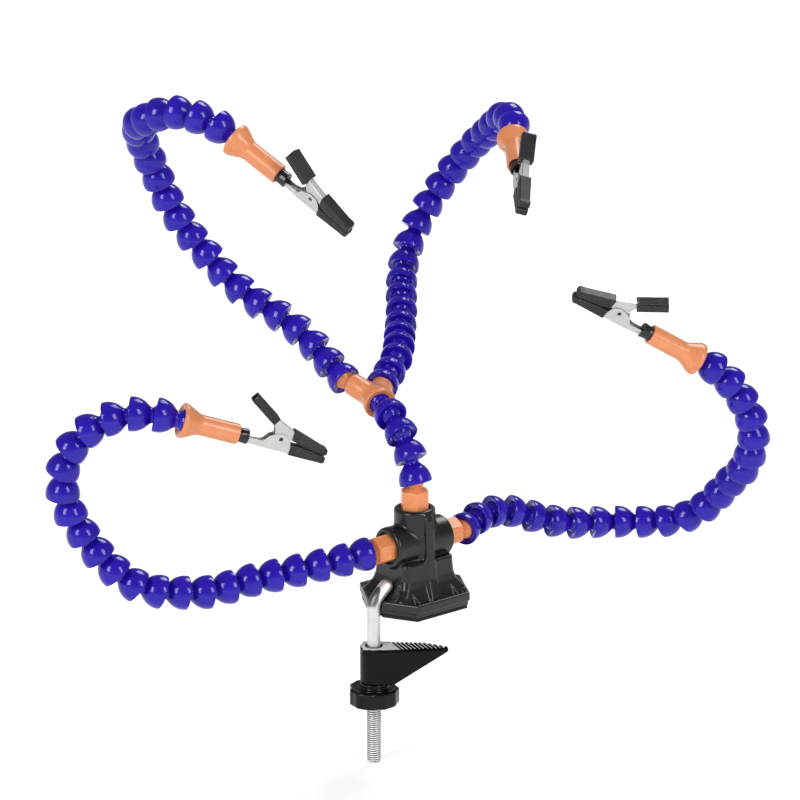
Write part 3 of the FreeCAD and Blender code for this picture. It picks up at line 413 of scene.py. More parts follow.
# -------------------------------------------------------------------- finishes
class Tree:
    def __init__(self, name):
        self.m = bpy.data.materials.new(name)
        self.m.use_nodes = True
        self.nt = self.m.node_tree
        self.p = self.nt.nodes["Principled BSDF"]
        self.at = self.nt.nodes.new("ShaderNodeTexCoord").outputs["Object"]

    def node(self, kind, **ins):
        n = self.nt.nodes.new(kind)
        for k, v in ins.items():
            n.inputs[k.replace("_", " ")].default_value = v
        return n

    def link(self, a, b):
        self.nt.links.new(a, b)

    def noise(self, scale, detail=3.0, rough=0.55, at=None):
        n = self.node("ShaderNodeTexNoise", Scale=scale, Detail=detail, Roughness=rough)
        self.link(at or self.at, n.inputs["Vector"])
        return n.outputs["Fac"]

    def stretched(self, scale, rot=(0, 0, 0)):
        n = self.nt.nodes.new("ShaderNodeMapping")
        n.inputs["Scale"].default_value = scale
        n.inputs["Rotation"].default_value = rot
        self.link(self.at, n.inputs["Vector"])
        return n.outputs["Vector"]

    def ramp(self, fac, stops):
        n = self.nt.nodes.new("ShaderNodeValToRGB")
        e = n.color_ramp.elements
        while len(e) < len(stops):
            e.new(0.5)
        for k, (pos, col) in enumerate(stops):
            e[k].position = pos
            e[k].color = (*col, 1) if len(col) == 3 else col
        self.link(fac, n.inputs["Fac"])
        return n.outputs["Color"]

    def span(self, fac, lo, hi, a=0.3, b=0.7):
        n = self.nt.nodes.new("ShaderNodeMapRange")
        n.inputs["From Min"].default_value, n.inputs["From Max"].default_value = a, b
        n.inputs["To Min"].default_value, n.inputs["To Max"].default_value = lo, hi
        self.link(fac, n.inputs["Value"])
        return n.outputs["Result"]

    def mix(self, fac, a, b, kind="MIX"):
        n = self.nt.nodes.new("ShaderNodeMix")
        n.data_type = "RGBA"
        n.blend_type = kind
        if hasattr(fac, "links"):
            self.link(fac, n.inputs[0])
        else:
            n.inputs[0].default_value = fac
        for s, v in ((n.inputs[6], a), (n.inputs[7], b)):
            if hasattr(v, "links"):
                self.link(v, s)
            else:
                s.default_value = (*v, 1)
        return n.outputs[2]

    def bump(self, pairs):
        """pairs of (height output, strength, distance in metres)"""
        last = None
        for h, s, d in pairs:
            n = self.node("ShaderNodeBump", Strength=s, Distance=d)
            self.link(h, n.inputs["Height"])
            if last is not None:
                self.link(last, n.inputs["Normal"])
            last = n.outputs["Normal"]
        self.link(last, self.p.inputs["Normal"])

    def set(self, **v):
        for k, x in v.items():
            self.p.inputs[k.replace("_", " ")].default_value = x


def moulded(name, low, high, rough, grain, spec=0.5, coat=0.0, edge=None, waves=0.25, grain_scale=2600.0, painted_top_sheen=None):
    """Injection-moulded plastic: slow colour drift, uneven gloss, fine grain and faint sink waves."""
    t = Tree(name)
    drift = t.noise(85.0, 3.0)
    col = t.ramp(drift, [(0.3, low), (0.7, high)])
    if edge is not None:
        g = t.nt.nodes.new("ShaderNodeNewGeometry")
        e = t.span(g.outputs["Pointiness"], 0.0, 1.0, 0.515, 0.60)
        col = t.mix(e, col, edge)
    if painted_top_sheen is not None:
        # painted reflection: faces that look straight up at one level are painted pale, as the sheen a glossy top
        # catches
        level, pale = painted_top_sheen
        g = t.nt.nodes.new("ShaderNodeNewGeometry")
        nz = t.nt.nodes.new("ShaderNodeSeparateXYZ")
        t.link(g.outputs["Normal"], nz.inputs[0])
        oz = t.nt.nodes.new("ShaderNodeSeparateXYZ")
        t.link(t.at, oz.inputs[0])
        up = t.span(nz.outputs["Z"], 0.0, 1.0, 0.90, 0.985)
        near = t.span(oz.outputs["Z"], 0.0, 1.0, (level - 0.35) * MM, (level - 0.12) * MM)
        m = t.nt.nodes.new("ShaderNodeMath")
        m.operation = "MULTIPLY"
        t.link(up, m.inputs[0])
        t.link(near, m.inputs[1])
        sheen_colour = t.mix(t.span(t.noise(700.0, 3.0), 0.0, 1.0, 0.3, 0.7), tuple(0.72 * c for c in pale), pale)
        col = t.mix(m.outputs[0], col, sheen_colour)
    t.link(col, t.p.inputs["Base Color"])
    smear = t.noise(240.0, 4.0, 0.6)
    t.link(t.span(smear, rough[0], rough[1]), t.p.inputs["Roughness"])
    t.bump([(t.noise(140.0, 2.0), waves, 0.00012), (t.noise(grain_scale, 2.0, 0.6), grain, 0.00004)])
    t.set(Specular_IOR_Level=spec, Coat_Weight=coat, Coat_Roughness=0.12)
    return t.m


def bare_metal(name, low, high, rough, brush, stretch, rot=(0, 0, 0), pits=0.15, root=None):
    t = Tree(name)
    t.set(Metallic=1.0)
    col = t.ramp(t.noise(160.0, 4.0), [(0.3, low), (0.7, high)])
    if root is not None:
        # painted shade: the thread's root is darkened, by distance from the rod's line
        cx, cy, r0, r1, root_shade = root
        v = t.nt.nodes.new("ShaderNodeVectorMath")
        v.operation = "SUBTRACT"
        t.link(t.at, v.inputs[0])
        v.inputs[1].default_value = (cx * MM, cy * MM, 0)
        w = t.nt.nodes.new("ShaderNodeVectorMath")
        w.operation = "MULTIPLY"
        t.link(v.outputs[0], w.inputs[0])
        w.inputs[1].default_value = (1, 1, 0)
        l = t.nt.nodes.new("ShaderNodeVectorMath")
        l.operation = "LENGTH"
        t.link(w.outputs[0], l.inputs[0])
        col = t.mix(t.span(l.outputs["Value"], 0.0, 1.0, r0 * MM, r1 * MM), root_shade, col)
        # painted highlight: the crests are lightened where they catch the light
        col = t.mix(t.span(l.outputs["Value"], 0.0, 1.0, 3.68 * MM, 3.82 * MM), col, (0.97, 0.97, 0.94))
    t.link(col, t.p.inputs["Base Color"])
    lines = t.noise(900.0, 3.0, 0.6, t.stretched(stretch, rot))
    t.link(t.span(lines, rough[0], rough[1]), t.p.inputs["Roughness"])
    t.bump([(lines, brush, 0.00003), (t.noise(1500.0, 2.0), pits, 0.00002)])
    return t.m


M_BASE = moulded("charcoal_nylon", (0.0062, 0.0062, 0.0060), (0.0095, 0.0095, 0.0092), (0.24, 0.36), 0.30, 0.42, edge=(0.022, 0.022, 0.0215))
M_PAD = moulded("pad_rubber", (0.006, 0.006, 0.006), (0.011, 0.011, 0.011), (0.62, 0.8), 0.6, 0.25, grain_scale=1500.0)
M_ORANGE = moulded("orange_acetal", (0.590, 0.200, 0.078), (0.640, 0.232, 0.096), (0.24, 0.34), 0.06, 0.45, waves=0.15)
M_FITTING = moulded("orange_fitting", (0.690, 0.226, 0.076), (0.745, 0.258, 0.090), (0.24, 0.34), 0.06, 0.45, waves=0.15)
M_BLUE = moulded("blue_acetal", (0.0150, 0.0045, 0.285), (0.0200, 0.0062, 0.335), (0.12, 0.17), 0.02, 0.30, waves=0.06)
# the jaw's top level is painted pale: a painted reflection on its glossy ribs
M_JAW = moulded("jaw_nylon", (0.0016, 0.0016, 0.0017), (0.0030, 0.0030, 0.0030), (0.20, 0.30), 0.12, 0.14, painted_top_sheen=(JAW_TOP, (0.80, 0.80, 0.79)))
M_KNOB = moulded("knob_nylon", (0.0018, 0.0018, 0.0019), (0.0034, 0.0034, 0.0034), (0.18, 0.28), 0.12, 0.21)
M_VINYL = moulded("sleeve_vinyl", (0.0085, 0.0085, 0.0105), (0.0150, 0.0150, 0.0180), (0.36, 0.50), 0.35, 0.35, edge=(0.048, 0.048, 0.055))
M_TAIL = moulded("tail_vinyl", (0.005, 0.005, 0.007), (0.009, 0.009, 0.012), (0.16, 0.28), 0.15, 0.45)
# root: painted shade in the thread's root and a painted highlight on its crests
M_ZINC = bare_metal("zinc_plate", (0.62, 0.625, 0.63), (0.70, 0.70, 0.70), (0.40, 0.50), 0.03, (1.0, 1.0, 0.03), pits=0.05, root=(ROD_X, ROD_Y, 3.30, 3.56, (0.17, 0.17, 0.16)))
M_NICKEL = bare_metal("clip_nickel", (0.50, 0.50, 0.49), (0.58, 0.58, 0.575), (0.40, 0.52), 0.15, (1.0, 1.0, 1.0), pits=0.3)
M_STEEL = bare_metal("pin_steel", (0.10, 0.10, 0.098), (0.16, 0.16, 0.155), (0.30, 0.42), 0.2, (1.0, 1.0, 1.0))
M_SPRING = bare_metal("spring_wire", (0.20, 0.19, 0.16), (0.30, 0.28, 0.23), (0.30, 0.42), 0.15, (1.0, 1.0, 1.0))
M_BRASS = bare_metal("nut_brass", (0.62, 0.44, 0.16), (0.74, 0.54, 0.22), (0.25, 0.38), 0.2, (1.0, 1.0, 0.1))


# ------------------------------------------------------------------ hose links
def socket_inside(front_r):
    """Inner profile of a socket from its rim to the bore, as (x, r)."""
    ri = circle_at(SOCKET_R, x=RIM_BACK)
    xs = circle_at(SOCKET_R, r=front_r)
    a0, a1 = math.degrees(math.atan2(ri, -RIM_BACK)), math.degrees(math.atan2(front_r, xs))
    return arc_pts((0, 0), SOCKET_R, a0, a1, 10)


def ball_outside(cx, start_x, neck=NECK_R):
    """Outer profile of a neck and ball centred at cx, ending on the bore at the nose."""
    xb = cx - circle_at(BALL_R, r=neck)
    a0 = math.degrees(math.atan2(neck, xb - cx))
    a1 = math.degrees(math.atan2(circle_at(BALL_R, x=BALL_FRONT), BALL_FRONT))
    ball = arc_pts((cx, 0), BALL_R, a0, a1, 12)
    nose = np.array([(cx + BALL_FRONT + 0.35, ball[-1][1] - 0.35), (cx + BALL_FRONT + 0.5, ball[-1][1] - 0.8),
                     (cx + BALL_FRONT + 0.5, BORE_R + 0.2), (cx + BALL_FRONT + 0.35, BORE_R)])
    mid = np.array([(start_x + (xb - start_x) * k, neck) for k in (0.35, 0.75)])
    return np.concatenate([mid, ball, nose])


def arc3(a, b, c, n):
    """n points after a, up to c, on the circle through a, b and c."""
    (ax, ay), (bx, by), (cx, cy) = a, b, c
    k = 2 * (ax * (by - cy) + bx * (cy - ay) + cx * (ay - by))
    ux = ((ax * ax + ay * ay) * (by - cy) + (bx * bx + by * by) * (cy - ay) + (cx * cx + cy * cy) * (ay - by)) / k
    uy = ((ax * ax + ay * ay) * (cx - bx) + (bx * bx + by * by) * (ax - cx) + (cx * cx + cy * cy) * (bx - ax)) / k
    r = math.hypot(ax - ux, ay - uy)
    q0, q1 = math.atan2(ay - uy, ax - ux), math.atan2(cy - uy, cx - ux)
    q = np.linspace(q0, q1, n + 1)[1:]
    return np.stack([ux + r * np.cos(q), uy + r * np.sin(q)], 1)


def rim_points():
    """Coned face of a socket's rim and its rounded outer edge."""
    ri = circle_at(SOCKET_R, x=RIM_BACK)
    return np.array([(-RIM_BACK - 0.07, ri + 0.12), (-RIM_BACK - 0.30, ri + 0.70), (-SKIRT_BACK + 0.15, 7.52),
                     (-SKIRT_BACK + 0.02, 7.86), (-SKIRT_BACK, 8.10), (-SKIRT_BACK, 8.45), (-SKIRT_BACK + 0.04, 8.66), (-SKIRT_BACK + 0.14, 8.82),
                     (-SKIRT_BACK + 0.30, 8.92)])


def bell_points():
    """Outside of a link's bell from the rim's edge to its waist."""
    return np.concatenate([arc3((-SKIRT_BACK + 0.30, 8.92), (-1.9, LINK_R), (-0.35, 8.84), 6), arc3((-0.35, 8.84), (2.2, 8.07), (4.7, 6.57), 9)])


def link_profile():
    foot = np.array([(5.4, 5.90), (6.1, 5.24), (6.6, 4.78), (6.85, 4.52), (7.2, 4.27), (7.6, 4.13), (8.1, NECK_R)])
    inside = socket_inside(BORE_R)[::-1]
    return np.concatenate([rim_points(), bell_points(), foot, ball_outside(PITCH, 8.1)[1:], [(9.0, BORE_R)], inside])


LINK = lathe(link_profile(), 56)


def links(name, body, centres, first, last, node):
    parts = []
    for i in range(first, last):
        c = np.asarray(centres[i], float)
        parts.append((*LINK, place(c, np.asarray(centres[i + 1], float) - c)))
    return piece(name, body, parts, M_BLUE, [node], weighted=True)


# ------------------------------------------------------------------- nozzles
def nozzle_profile():
    bell = arc3((-SKIRT_BACK + 0.30, 8.92), (-2.2, LINK_R), (-0.6, 8.6), 6)
    tail = fillet([bell[-1], (5.1, 5.85), (7.0, TUBE_R), (NOZZLE_L, TUBE_R), (NOZZLE_L, NOZZLE_BORE_R), (13.5, NOZZLE_BORE_R),
                   (12.5, BORE_R), (10.5, BORE_R)], [0, 1.6, 1.2, 0.55, 0.25, 0.3, 0.3, 0], closed=False, steps=6)[1:]
    inside = socket_inside(BORE_R)[::-1]
    return np.concatenate([rim_points(), bell, tail, inside])


NOZZLE = lathe(nozzle_profile(), 72)


# ------------------------------------------------------------- threaded fittings
def hexagon(af, turn=0.0):
    r = af / math.sqrt(3.0)
    return [(r * math.cos(math.radians(60 * i + turn)), r * math.sin(math.radians(60 * i + turn))) for i in range(6)]


def revolved(field, pts):
    """Distance to a profile of (x, r) turned about the local x axis."""
    return outline(field.x + 0 * field.y, hyp(field.y, field.z) + 0 * field.x, pts)


def fitting_mesh():
    g = Field((-2.2, -8.2, -8.2), (FIT_LEN + 4.6, 8.2, 8.2), 0.30)
    rho = hyp(g.y, g.z)
    hx = slab(outline(g.y, g.z, hexagon(HEX_AF)), g.x - (HEX_L - 2.0) / 2, (HEX_L + 2.0) / 2, 0.45)
    # corners turned down at the outer end
    hx = smax(hx, (rho + (g.x - HEX_L) * 1.89 - 6.3) * 0.468, 0.3)
    lip = slab(rho - 5.7, g.x - (HEX_L - 0.6), 1.05, 0.4)
    neck = slab(rho - np.maximum(NECK_R - 0.15, 5.1 - (g.x - HEX_L - 0.7)), g.x - (HEX_L + 2.5), 3.5, 0.3)
    ball = np.sqrt((g.x - FIT_LEN) ** 2 + rho * rho) - BALL_R
    ball = smax(ball, g.x - FIT_LEN - BALL_FRONT - 0.5, 0.7)
    d = smin(smin(hx, lip, 0.5), neck, 0.7)
    d = smin(d, ball, 0.2)
    d = smax(d, BORE_R - rho, 0.4)
    return g.mesh(d, 0.55)


FITTING = fitting_mesh()


# ------------------------------------------------------------------ Y piece
def y_mesh():
    g = Field((-4.2, -20.2, -9.4), (30.6, 20.2, 9.4), 0.33)
    prof = np.concatenate([[(-SKIRT_BACK, 0.01), (-SKIRT_BACK, 8.60), (-SKIRT_BACK + 0.12, 8.80), (-SKIRT_BACK + 0.30, 8.92)], bell_points(),
                           [(7.0, 5.5), (11.6, 4.9), (11.6, 0.01)]])
    trunk = revolved(g, prof)
    d = trunk
    for s in (1, -1):
        a = math.radians(Y_HALF) * s
        u = g.x * math.cos(a) + g.y * math.sin(a)
        w = -g.x * math.sin(a) + g.y * math.cos(a)
        rho = hyp(w, g.z)
        leg = outline(u + 0 * g.z, rho + 0 * u, fillet([(4.0, 0.01), (4.0, 6.0), (13.0, 6.3), (18.3, 6.2), (19.4, 5.6), (20.2, 4.75), (20.9, NECK_R - 0.15), (22.5, NECK_R - 0.15), (22.5, 0.01)],
                                                   [0, 0, 2.0, 0.5, 0.4, 0.3, 0.3, 0, 0], steps=3))
        ball = np.sqrt((u - Y_LEG) ** 2 + rho * rho) - BALL_R
        ball = smax(ball, u - Y_LEG - BALL_FRONT - 0.5, 0.7)
        leg = smin(leg, ball, 0.2)
        leg = smax(leg, -np.maximum(rho - BORE_R, 12.0 - u), 0.3)
        d = smin(d, leg, 2.4)
    web = slab(outline(g.x, g.y, [(7.0, 0.0), (9.0, 6.6), (14.6, 7.4), (16.4, 4.6), (15.4, 0.0), (16.4, -4.6), (14.6, -7.4), (9.0, -6.6)]), g.z, 2.1, 0.7)
    d = smin(d, web, 1.4)
    d = smax(d, SOCKET_R - np.sqrt(g.x ** 2 + g.y ** 2 + g.z ** 2), 0.5)
    cone = np.maximum((hyp(g.y, g.z) - 5.64 - 2.511 * (-RIM_BACK - g.x)) * 0.37, g.x + RIM_BACK - 0.2)
    d = smax(d, -cone, 0.2)
    for s in (1, -1):
        a = math.radians(Y_HALF) * s
        u = g.x * math.cos(a) + g.y * math.sin(a)
        w = -g.x * math.sin(a) + g.y * math.cos(a)
        d = np.maximum(d, np.minimum(np.maximum(hyp(w, g.z) - BORE_R, 5.0 - u), 50) * -1)
    return g.mesh(d, 0.5)


# ------------------------------------------------------------------ base moulding
def rod_line(extra=0.0, swing=0.0):
    """Centre line of the hook above the flange, swung about the rod's axis."""
    a = math.radians(HOOK_ANGLE)
    pts = [(0, 0, -8.0), (0, 0, HOOK_START)]
    for k in range(1, 9):
        q = a * k / 8
        pts.append((HOOK_BEND_R * (1 - math.cos(q)), 0, HOOK_START + HOOK_BEND_R * math.sin(q)))
    e = pts[-1]
    l = HOOK_STRAIGHT + extra
    pts.append((e[0] + math.sin(a) * l, 0, e[2] + math.cos(a) * l))
    c, s = math.cos(math.radians(swing)), math.sin(math.radians(swing))
    return [(ROD_X + p[0] * c, ROD_Y + p[0] * s, p[2]) for p in pts]


def base_mesh():
    g = Field((-32.0, -25.0, PAD_T), (32.0, 25.0, PORT_TOP), 0.42)
    x, y, z = g.x, g.y, g.z
    hexd = outline(x, y, FLANGE)
    upper = slab(hexd, z - 6.95, 2.55, 0.85)
    lower = slab(hexd + 0.8, z - 3.6, 1.6, 0.75)
    flange = smin(upper, lower, 0.25)
    room = smax(hexd + RIM_W, RECESS_FLOOR - z, 1.3)
    flange = smax(flange, -room, 0.9)
    # waisted column with a flat shoulder under the ports
    zs = [3.0, 5.5, 8.5, 11.5, 15.0, 19.0, 24.0, 28.0]
    xs = [26.8, 26.2, 24.6, 21.4, 18.6, 17.4, 17.0, 16.9]
    ys = [20.2, 19.8, 18.4, 16.6, 15.0, 14.1, 13.7, 13.6]
    zz = z.ravel()
    ax = np.interp(zz, zs, xs)[None, None, :].astype(np.float32)
    ay = np.interp(zz, zs, ys)[None, None, :].astype(np.float32)
    slope = np.abs(np.gradient(ax.ravel(), zz))
    col = rounded_box2(x, y, ax, ay, 3.6) / np.sqrt(1 + (0.7 * slope) ** 2)[None, None, :]
    col = smax(col, z - 28.2, 1.8)
    col = np.maximum(col, 3.2 - z)
    side = slab(hyp(y, z - PORT_Z) - PORT_R, x, PORT_X, 1.7)
    top = slab(hyp(x, y) - PORT_R, z - (PORT_TOP + PORT_Z - 8) / 2, (PORT_TOP - PORT_Z + 8) / 2, 1.7)
    ports = smin(side, top, 1.5)
    body = smin(col, ports, 1.8)
    # front and back spine, widening towards its foot
    spine = outline(np.abs(y), z, [(6.0, 53.2), (12.3, 52.5), (13.2, 50.2), (13.7, 45.0), (14.3, 30.0), (15.5, 18.0), (20.9, RECESS_FLOOR - 0.4), (6.0, RECESS_FLOOR - 0.4)])
    hw = np.interp(zz, [4.0, 9.0, 18.0, 30.0, 52.0], [4.4, 3.5, 3.0, 2.8, 2.75])[None, None, :].astype(np.float32)
    ribs = slab(spine, np.abs(x) - hw + 4.0, 4.0, 1.1)
    body = smin(body, ribs, 1.9)
    # gussets from the column's foot to the rim
    for gx in (13.2,):
        gus = slab(outline(np.abs(y), z, [(10.0, 15.0), (15.6, 13.2), (22.9, 7.6), (22.9, 4.0), (10.0, 4.0)]), np.abs(x) - gx, 0.85, 0.45)
        body = smin(body, gus, 0.6)
    end = slab(outline(np.abs(x), z, [(12.0, 16.0), (17.6, 14.6), (27.2, 7.0), (27.2, 4.0), (12.0, 4.0)]), np.abs(y) - 9.6, 0.85, 0.45)
    end = smax(end, hexd + 1.6, 0.2)
    body = smin(body, end, 0.6)
    d = smin(flange, smax(body, hexd + 1.0, 0.3), 0.9)
    # mouths of the ports: a shallow dish with the tapped bore inside it
    for dist, axis in ((hyp(y, z - PORT_Z), np.abs(x) - PORT_X), (hyp(x, y), z - PORT_TOP)):
        mouth = np.maximum(dist - MOUTH_R, -axis - 1.9)
        bore = np.maximum(dist - PORT_BORE_R, -axis - 10.0)
        inside = (dist < 14) & (axis > -14)
        d = np.where(inside, smax(d, -np.minimum(mouth, bore), 0.7), d)
    # room for the rod and its hook at the left corner
    nx, ny, nz = np.searchsorted(x.ravel(), -10.0), slice(None), np.searchsorted(zz, 26.0)
    sx, sz = x[:nx], z[:, :, :nz]
    notch = np.minimum(hyp(sx - ROD_X, y - ROD_Y) - NOTCH_R, np.maximum(np.abs(y - ROD_Y) - NOTCH_R, sx - ROD_X))
    cut = np.broadcast_to(notch, (nx, len(y.ravel()), nz)).astype(np.float32).copy()
    for swing in (-11.0, -5.5, 0.0, 5.5, 11.0):
        line = rod_line(0.0, swing)
        for a, b in zip(line[1:-1], line[2:]):
            cut = np.minimum(cut, seg_dist(sx, y, sz, a, b) - ROD_R - 0.45)
    part = smax(d[:nx, :, :nz], -cut, 0.7)
    d = np.array(np.broadcast_to(d, g.n))
    d[:nx, :, :nz] = part
    # drain holes in the recess
    for hx, hy in ((-24.0, 9.0), (26.0, 0.0)):
        hole = np.maximum(hyp(x - hx, y - hy) - 1.35, z - 8.0)
        d = smax(d, -hole, 0.3)
    return g.mesh(d, 0.45)


def pad_mesh():
    g = Field((-31.0, -24.0, 0.0), (31.0, 24.0, PAD_T), 0.42)
    d2 = outline(g.x, g.y, FLANGE) + 1.2
    notch = np.minimum(hyp(g.x - ROD_X, g.y - ROD_Y) - NOTCH_R - 0.3, np.maximum(np.abs(g.y - ROD_Y) - NOTCH_R - 0.3, g.x - ROD_X))
    d2 = smax(d2, -notch, 0.5)
    return g.mesh(slab(d2, g.z - PAD_T / 2, PAD_T / 2, 0.55), 0.3)


# ------------------------------------------------------------------ bench clamp
def rod_mesh():
    """Plain shank and hook swept on its centre line, with a helical thread below."""
    n = 48
    a = 2 * np.pi * np.arange(n) / n
    rings = []
    step = 0.125 * FINE
    for z in np.arange(ROD_BOTTOM, THREAD_TOP + 0.9, step):
        ph = (z / THREAD_PITCH - a / (2 * np.pi)) % 1.0
        tri = np.abs(ph * 2 - 1)
        prof = np.clip((tri - 0.22) / 0.66, 0, 1)
        depth = 0.78
        crest = min(1.0, (z - ROD_BOTTOM) / 1.1)
        fade = min(1.0, max(0.0, (THREAD_TOP + 0.7 - z) / 1.4))
        r = (THREAD_R - depth * prof) * (0.80 + 0.20 * crest) * fade + ROD_R * (1 - fade)
        rings.append(np.stack([ROD_X + r * np.cos(a), ROD_Y + r * np.sin(a), np.full(n, z)], 1))
    for z in np.linspace(THREAD_TOP + 1.0, HOOK_START - 0.6, 14):
        rings.append(np.stack([ROD_X + ROD_R * np.cos(a), ROD_Y + ROD_R * np.sin(a), np.full(n, z)], 1))
    top = math.radians(HOOK_ANGLE)
    for k in range(0, 17):
        q = top * k / 16
        c = np.array([ROD_X + HOOK_BEND_R * (1 - math.cos(q)), ROD_Y, HOOK_START + HOOK_BEND_R * math.sin(q)])
        u = np.array([math.cos(q), 0, -math.sin(q)])
        rings.append(c + ROD_R * (np.cos(a)[:, None] * u + np.sin(a)[:, None] * np.array([0, 1.0, 0])))
    t = np.array([math.sin(top), 0, math.cos(top)])
    for k in range(1, 5):
        rings.append(rings[-1] * 1.0 + t * (HOOK_STRAIGHT / 4))
    c = rings[-1].mean(0)
    for k in range(1, 9):
        q = math.radians(90 * k / 8 * 0.99)
        rings.append(c + t * ROD_R * math.sin(q) + ROD_R * math.cos(q) * (np.cos(a)[:, None] * u + np.sin(a)[:, None] * np.array([0, 1.0, 0])))
    rings = np.array(rings)
    m = len(rings)
    v = rings.reshape(-1, 3)
    i, j = np.meshgrid(np.arange(m - 1), np.arange(n), indexing="ij")
    q = np.stack([i * n + j, i * n + (j + 1) % n, (i + 1) * n + (j + 1) % n, (i + 1) * n + j], -1).reshape(-1, 4)
    v = np.concatenate([v, rings[0].mean(0)[None], rings[-1].mean(0)[None]])
    c0, c1 = len(v) - 2, len(v) - 1
    e0 = np.stack([np.full(n, c0), (np.arange(n) + 1) % n, np.arange(n)], 1)
    e1 = np.stack([np.full(n, c1), (m - 1) * n + np.arange(n), (m - 1) * n + (np.arange(n) + 1) % n], 1)
    return v, q, np.concatenate([e0, e1])


def jaw_mesh():
    z1, z0 = JAW_TOP, JAW_TOP - JAW_H
    g = Field((-8.0, -8.0, z0), (JAW_REACH, 8.0, z1), 0.27)
    x, y, z = g.x, g.y, g.z
    boss = slab(hyp(x, y) - JAW_BOSS_R, z - (z1 + z0) / 2, JAW_H / 2, 0.5)
    side = outline(x, z, [(0.0, z0), (11.0, z0), (JAW_REACH, z1 - JAW_TIP_T), (JAW_REACH, z1 - 0.75), (0.0, z1 - 0.75)])
    w = JAW_W / 2
    plan = outline(x, y, [(-2, -7.3), (6, -w), (JAW_REACH - 1.2, -w + 3.6), (JAW_REACH, -w + 4.4), (JAW_REACH, 0.0), (27.5, w - 1.6), (6, w), (-2, 7.3)])
    wedge = smax(side, plan, 0.8)
    d = smin(boss, wedge, 0.8)
    table = slab(outline(x, y, [(-6, -6.9), (6.0, -6.9), (14.6, -6.1), (8.8, 6.4), (-6, 6.9)]), z - (z1 - 1.4), 1.4, 0.25)
    d = smin(d, smin(table, slab(hyp(x, y) - JAW_BOSS_R, z - (z1 - 1.4), 1.4, 0.4), 0.3), 0.2)
    # slanting ribs on the outer part of the top
    lean = 6.2 / 13.4
    s = x + (y + 6.6) * lean - 15.6 - 0.65
    k = np.round(s / 2.3)
    bars = (np.abs(s - 2.3 * k) - 0.65) / math.sqrt(1 + lean * lean)
    field = outline(x, y, [(8.0, -6.4), (JAW_REACH - 1.6, -3.4), (JAW_REACH - 0.6, -2.6), (JAW_REACH - 0.6, -0.6), (27.2, 5.3), (8.0, 6.4)])
    bars = smax(np.maximum(bars, -s - 0.65), field, 0.3)
    d = np.minimum(d, slab(bars, z - (z1 - 1.3), 1.3, 0.25))
    bore = np.minimum(hyp(x, y) - JAW_BORE_R, (hyp(x, y) - JAW_BORE_R - 0.6 + np.minimum(z1 - z, z - z0)) * 0.7)
    d = smax(d, -bore, 0.25)
    return g.mesh(d, 0.45)


def knob_mesh():
    z1 = KNOB_TOP
    zk = z1 - KNOB_HUB_H
    g = Field((-14.0, -14.0, zk - KNOB_H), (14.0, 14.0, z1), 0.27)
    x, y, z = g.x, g.y, g.z
    rho = hyp(x, y)
    lobes = rho - KNOB_R
    for i in range(KNOB_FLUTES):
        a = math.radians(FLUTE_AT + 360.0 / KNOB_FLUTES * i)
        far = 20.95 if i in KNOB_DEEP else 21.95
        lobes = smax(lobes, 8.7 - hyp(x - far * math.cos(a), y - far * math.sin(a)), 0.9)
    ring = slab(lobes, z - (zk - KNOB_H / 2), KNOB_H / 2, 1.25)
    hub = slab(rho - KNOB_HUB_R, z - (z1 - (KNOB_HUB_H + 3) / 2), (KNOB_HUB_H + 3) / 2, 0.5)
    d = smin(ring, hub, 1.2)
    # dished top face round the hub and hollow underside
    dish = np.maximum(np.abs(rho - 9.7) - 1.15, zk - 0.75 - z)
    d = smax(d, -dish, 0.9)
    under = np.maximum(np.abs(rho - 8.7) - 1.5, z - (zk - KNOB_H + 3.2))
    d = smax(d, -under, 0.6)
    bore = np.minimum(rho - THREAD_R - 0.35, (rho - THREAD_R - 1.1 + np.minimum(z1 - z, z - zk + KNOB_H)) * 0.7)
    d = smax(d, -bore, 0.2)
    return g.mesh(d, 0.45)


def nut_mesh():
    z1 = KNOB_TOP - 0.6
    g = Field((-6.4, -6.4, z1 - 8.0), (6.4, 6.4, z1), 0.25)
    rho = hyp(g.x, g.y)
    d = slab(outline(g.x, g.y, hexagon(11.0)), g.z - z1 + 4.0, 4.0, 0.3)
    d = smax(d, (rho - 6.15 + np.maximum(np.abs(g.z - z1 + 4.0) - 3.4, 0)) * 0.8, 0.2)
    d = smax(d, THREAD_R + 0.06 - rho, 0.2)
    return g.mesh(d, 0.5)


# ------------------------------------------------------------------ spring clips
# Clip frame: origin at the centre of the nozzle mouth, x towards the jaw
# tips, y to the thumb-handle side, z along the pivot pin.
FIXED_SIDE = [(-9.5, -3.0), (14.2, -3.0), (27.1, -3.2), (46.2, -3.3), (46.2, -0.9), (28.0, 1.0),
              (27.1, 3.3), (25.4, 5.5), (22.0, 6.4), (18.5, 5.5), (15.7, 4.0), (13.5, 0.9), (11.3, 0.3), (-9.5, 0.3)]
MOVING_SIDE = [(3.2, 19.6), (16.1, 11.3), (17.4, 8.1), (18.9, 2.3), (20.6, 1.0), (23.4, 1.0), (26.7, 3.9),
               (46.2, 1.3), (46.2, 3.5), (28.2, 8.8), (18.3, 13.1), (4.3, 21.6)]


def plan_width(x, pts):
    return np.interp(x.ravel(), [p[0] for p in pts], [p[1] for p in pts])[:, None, None].astype(np.float32)


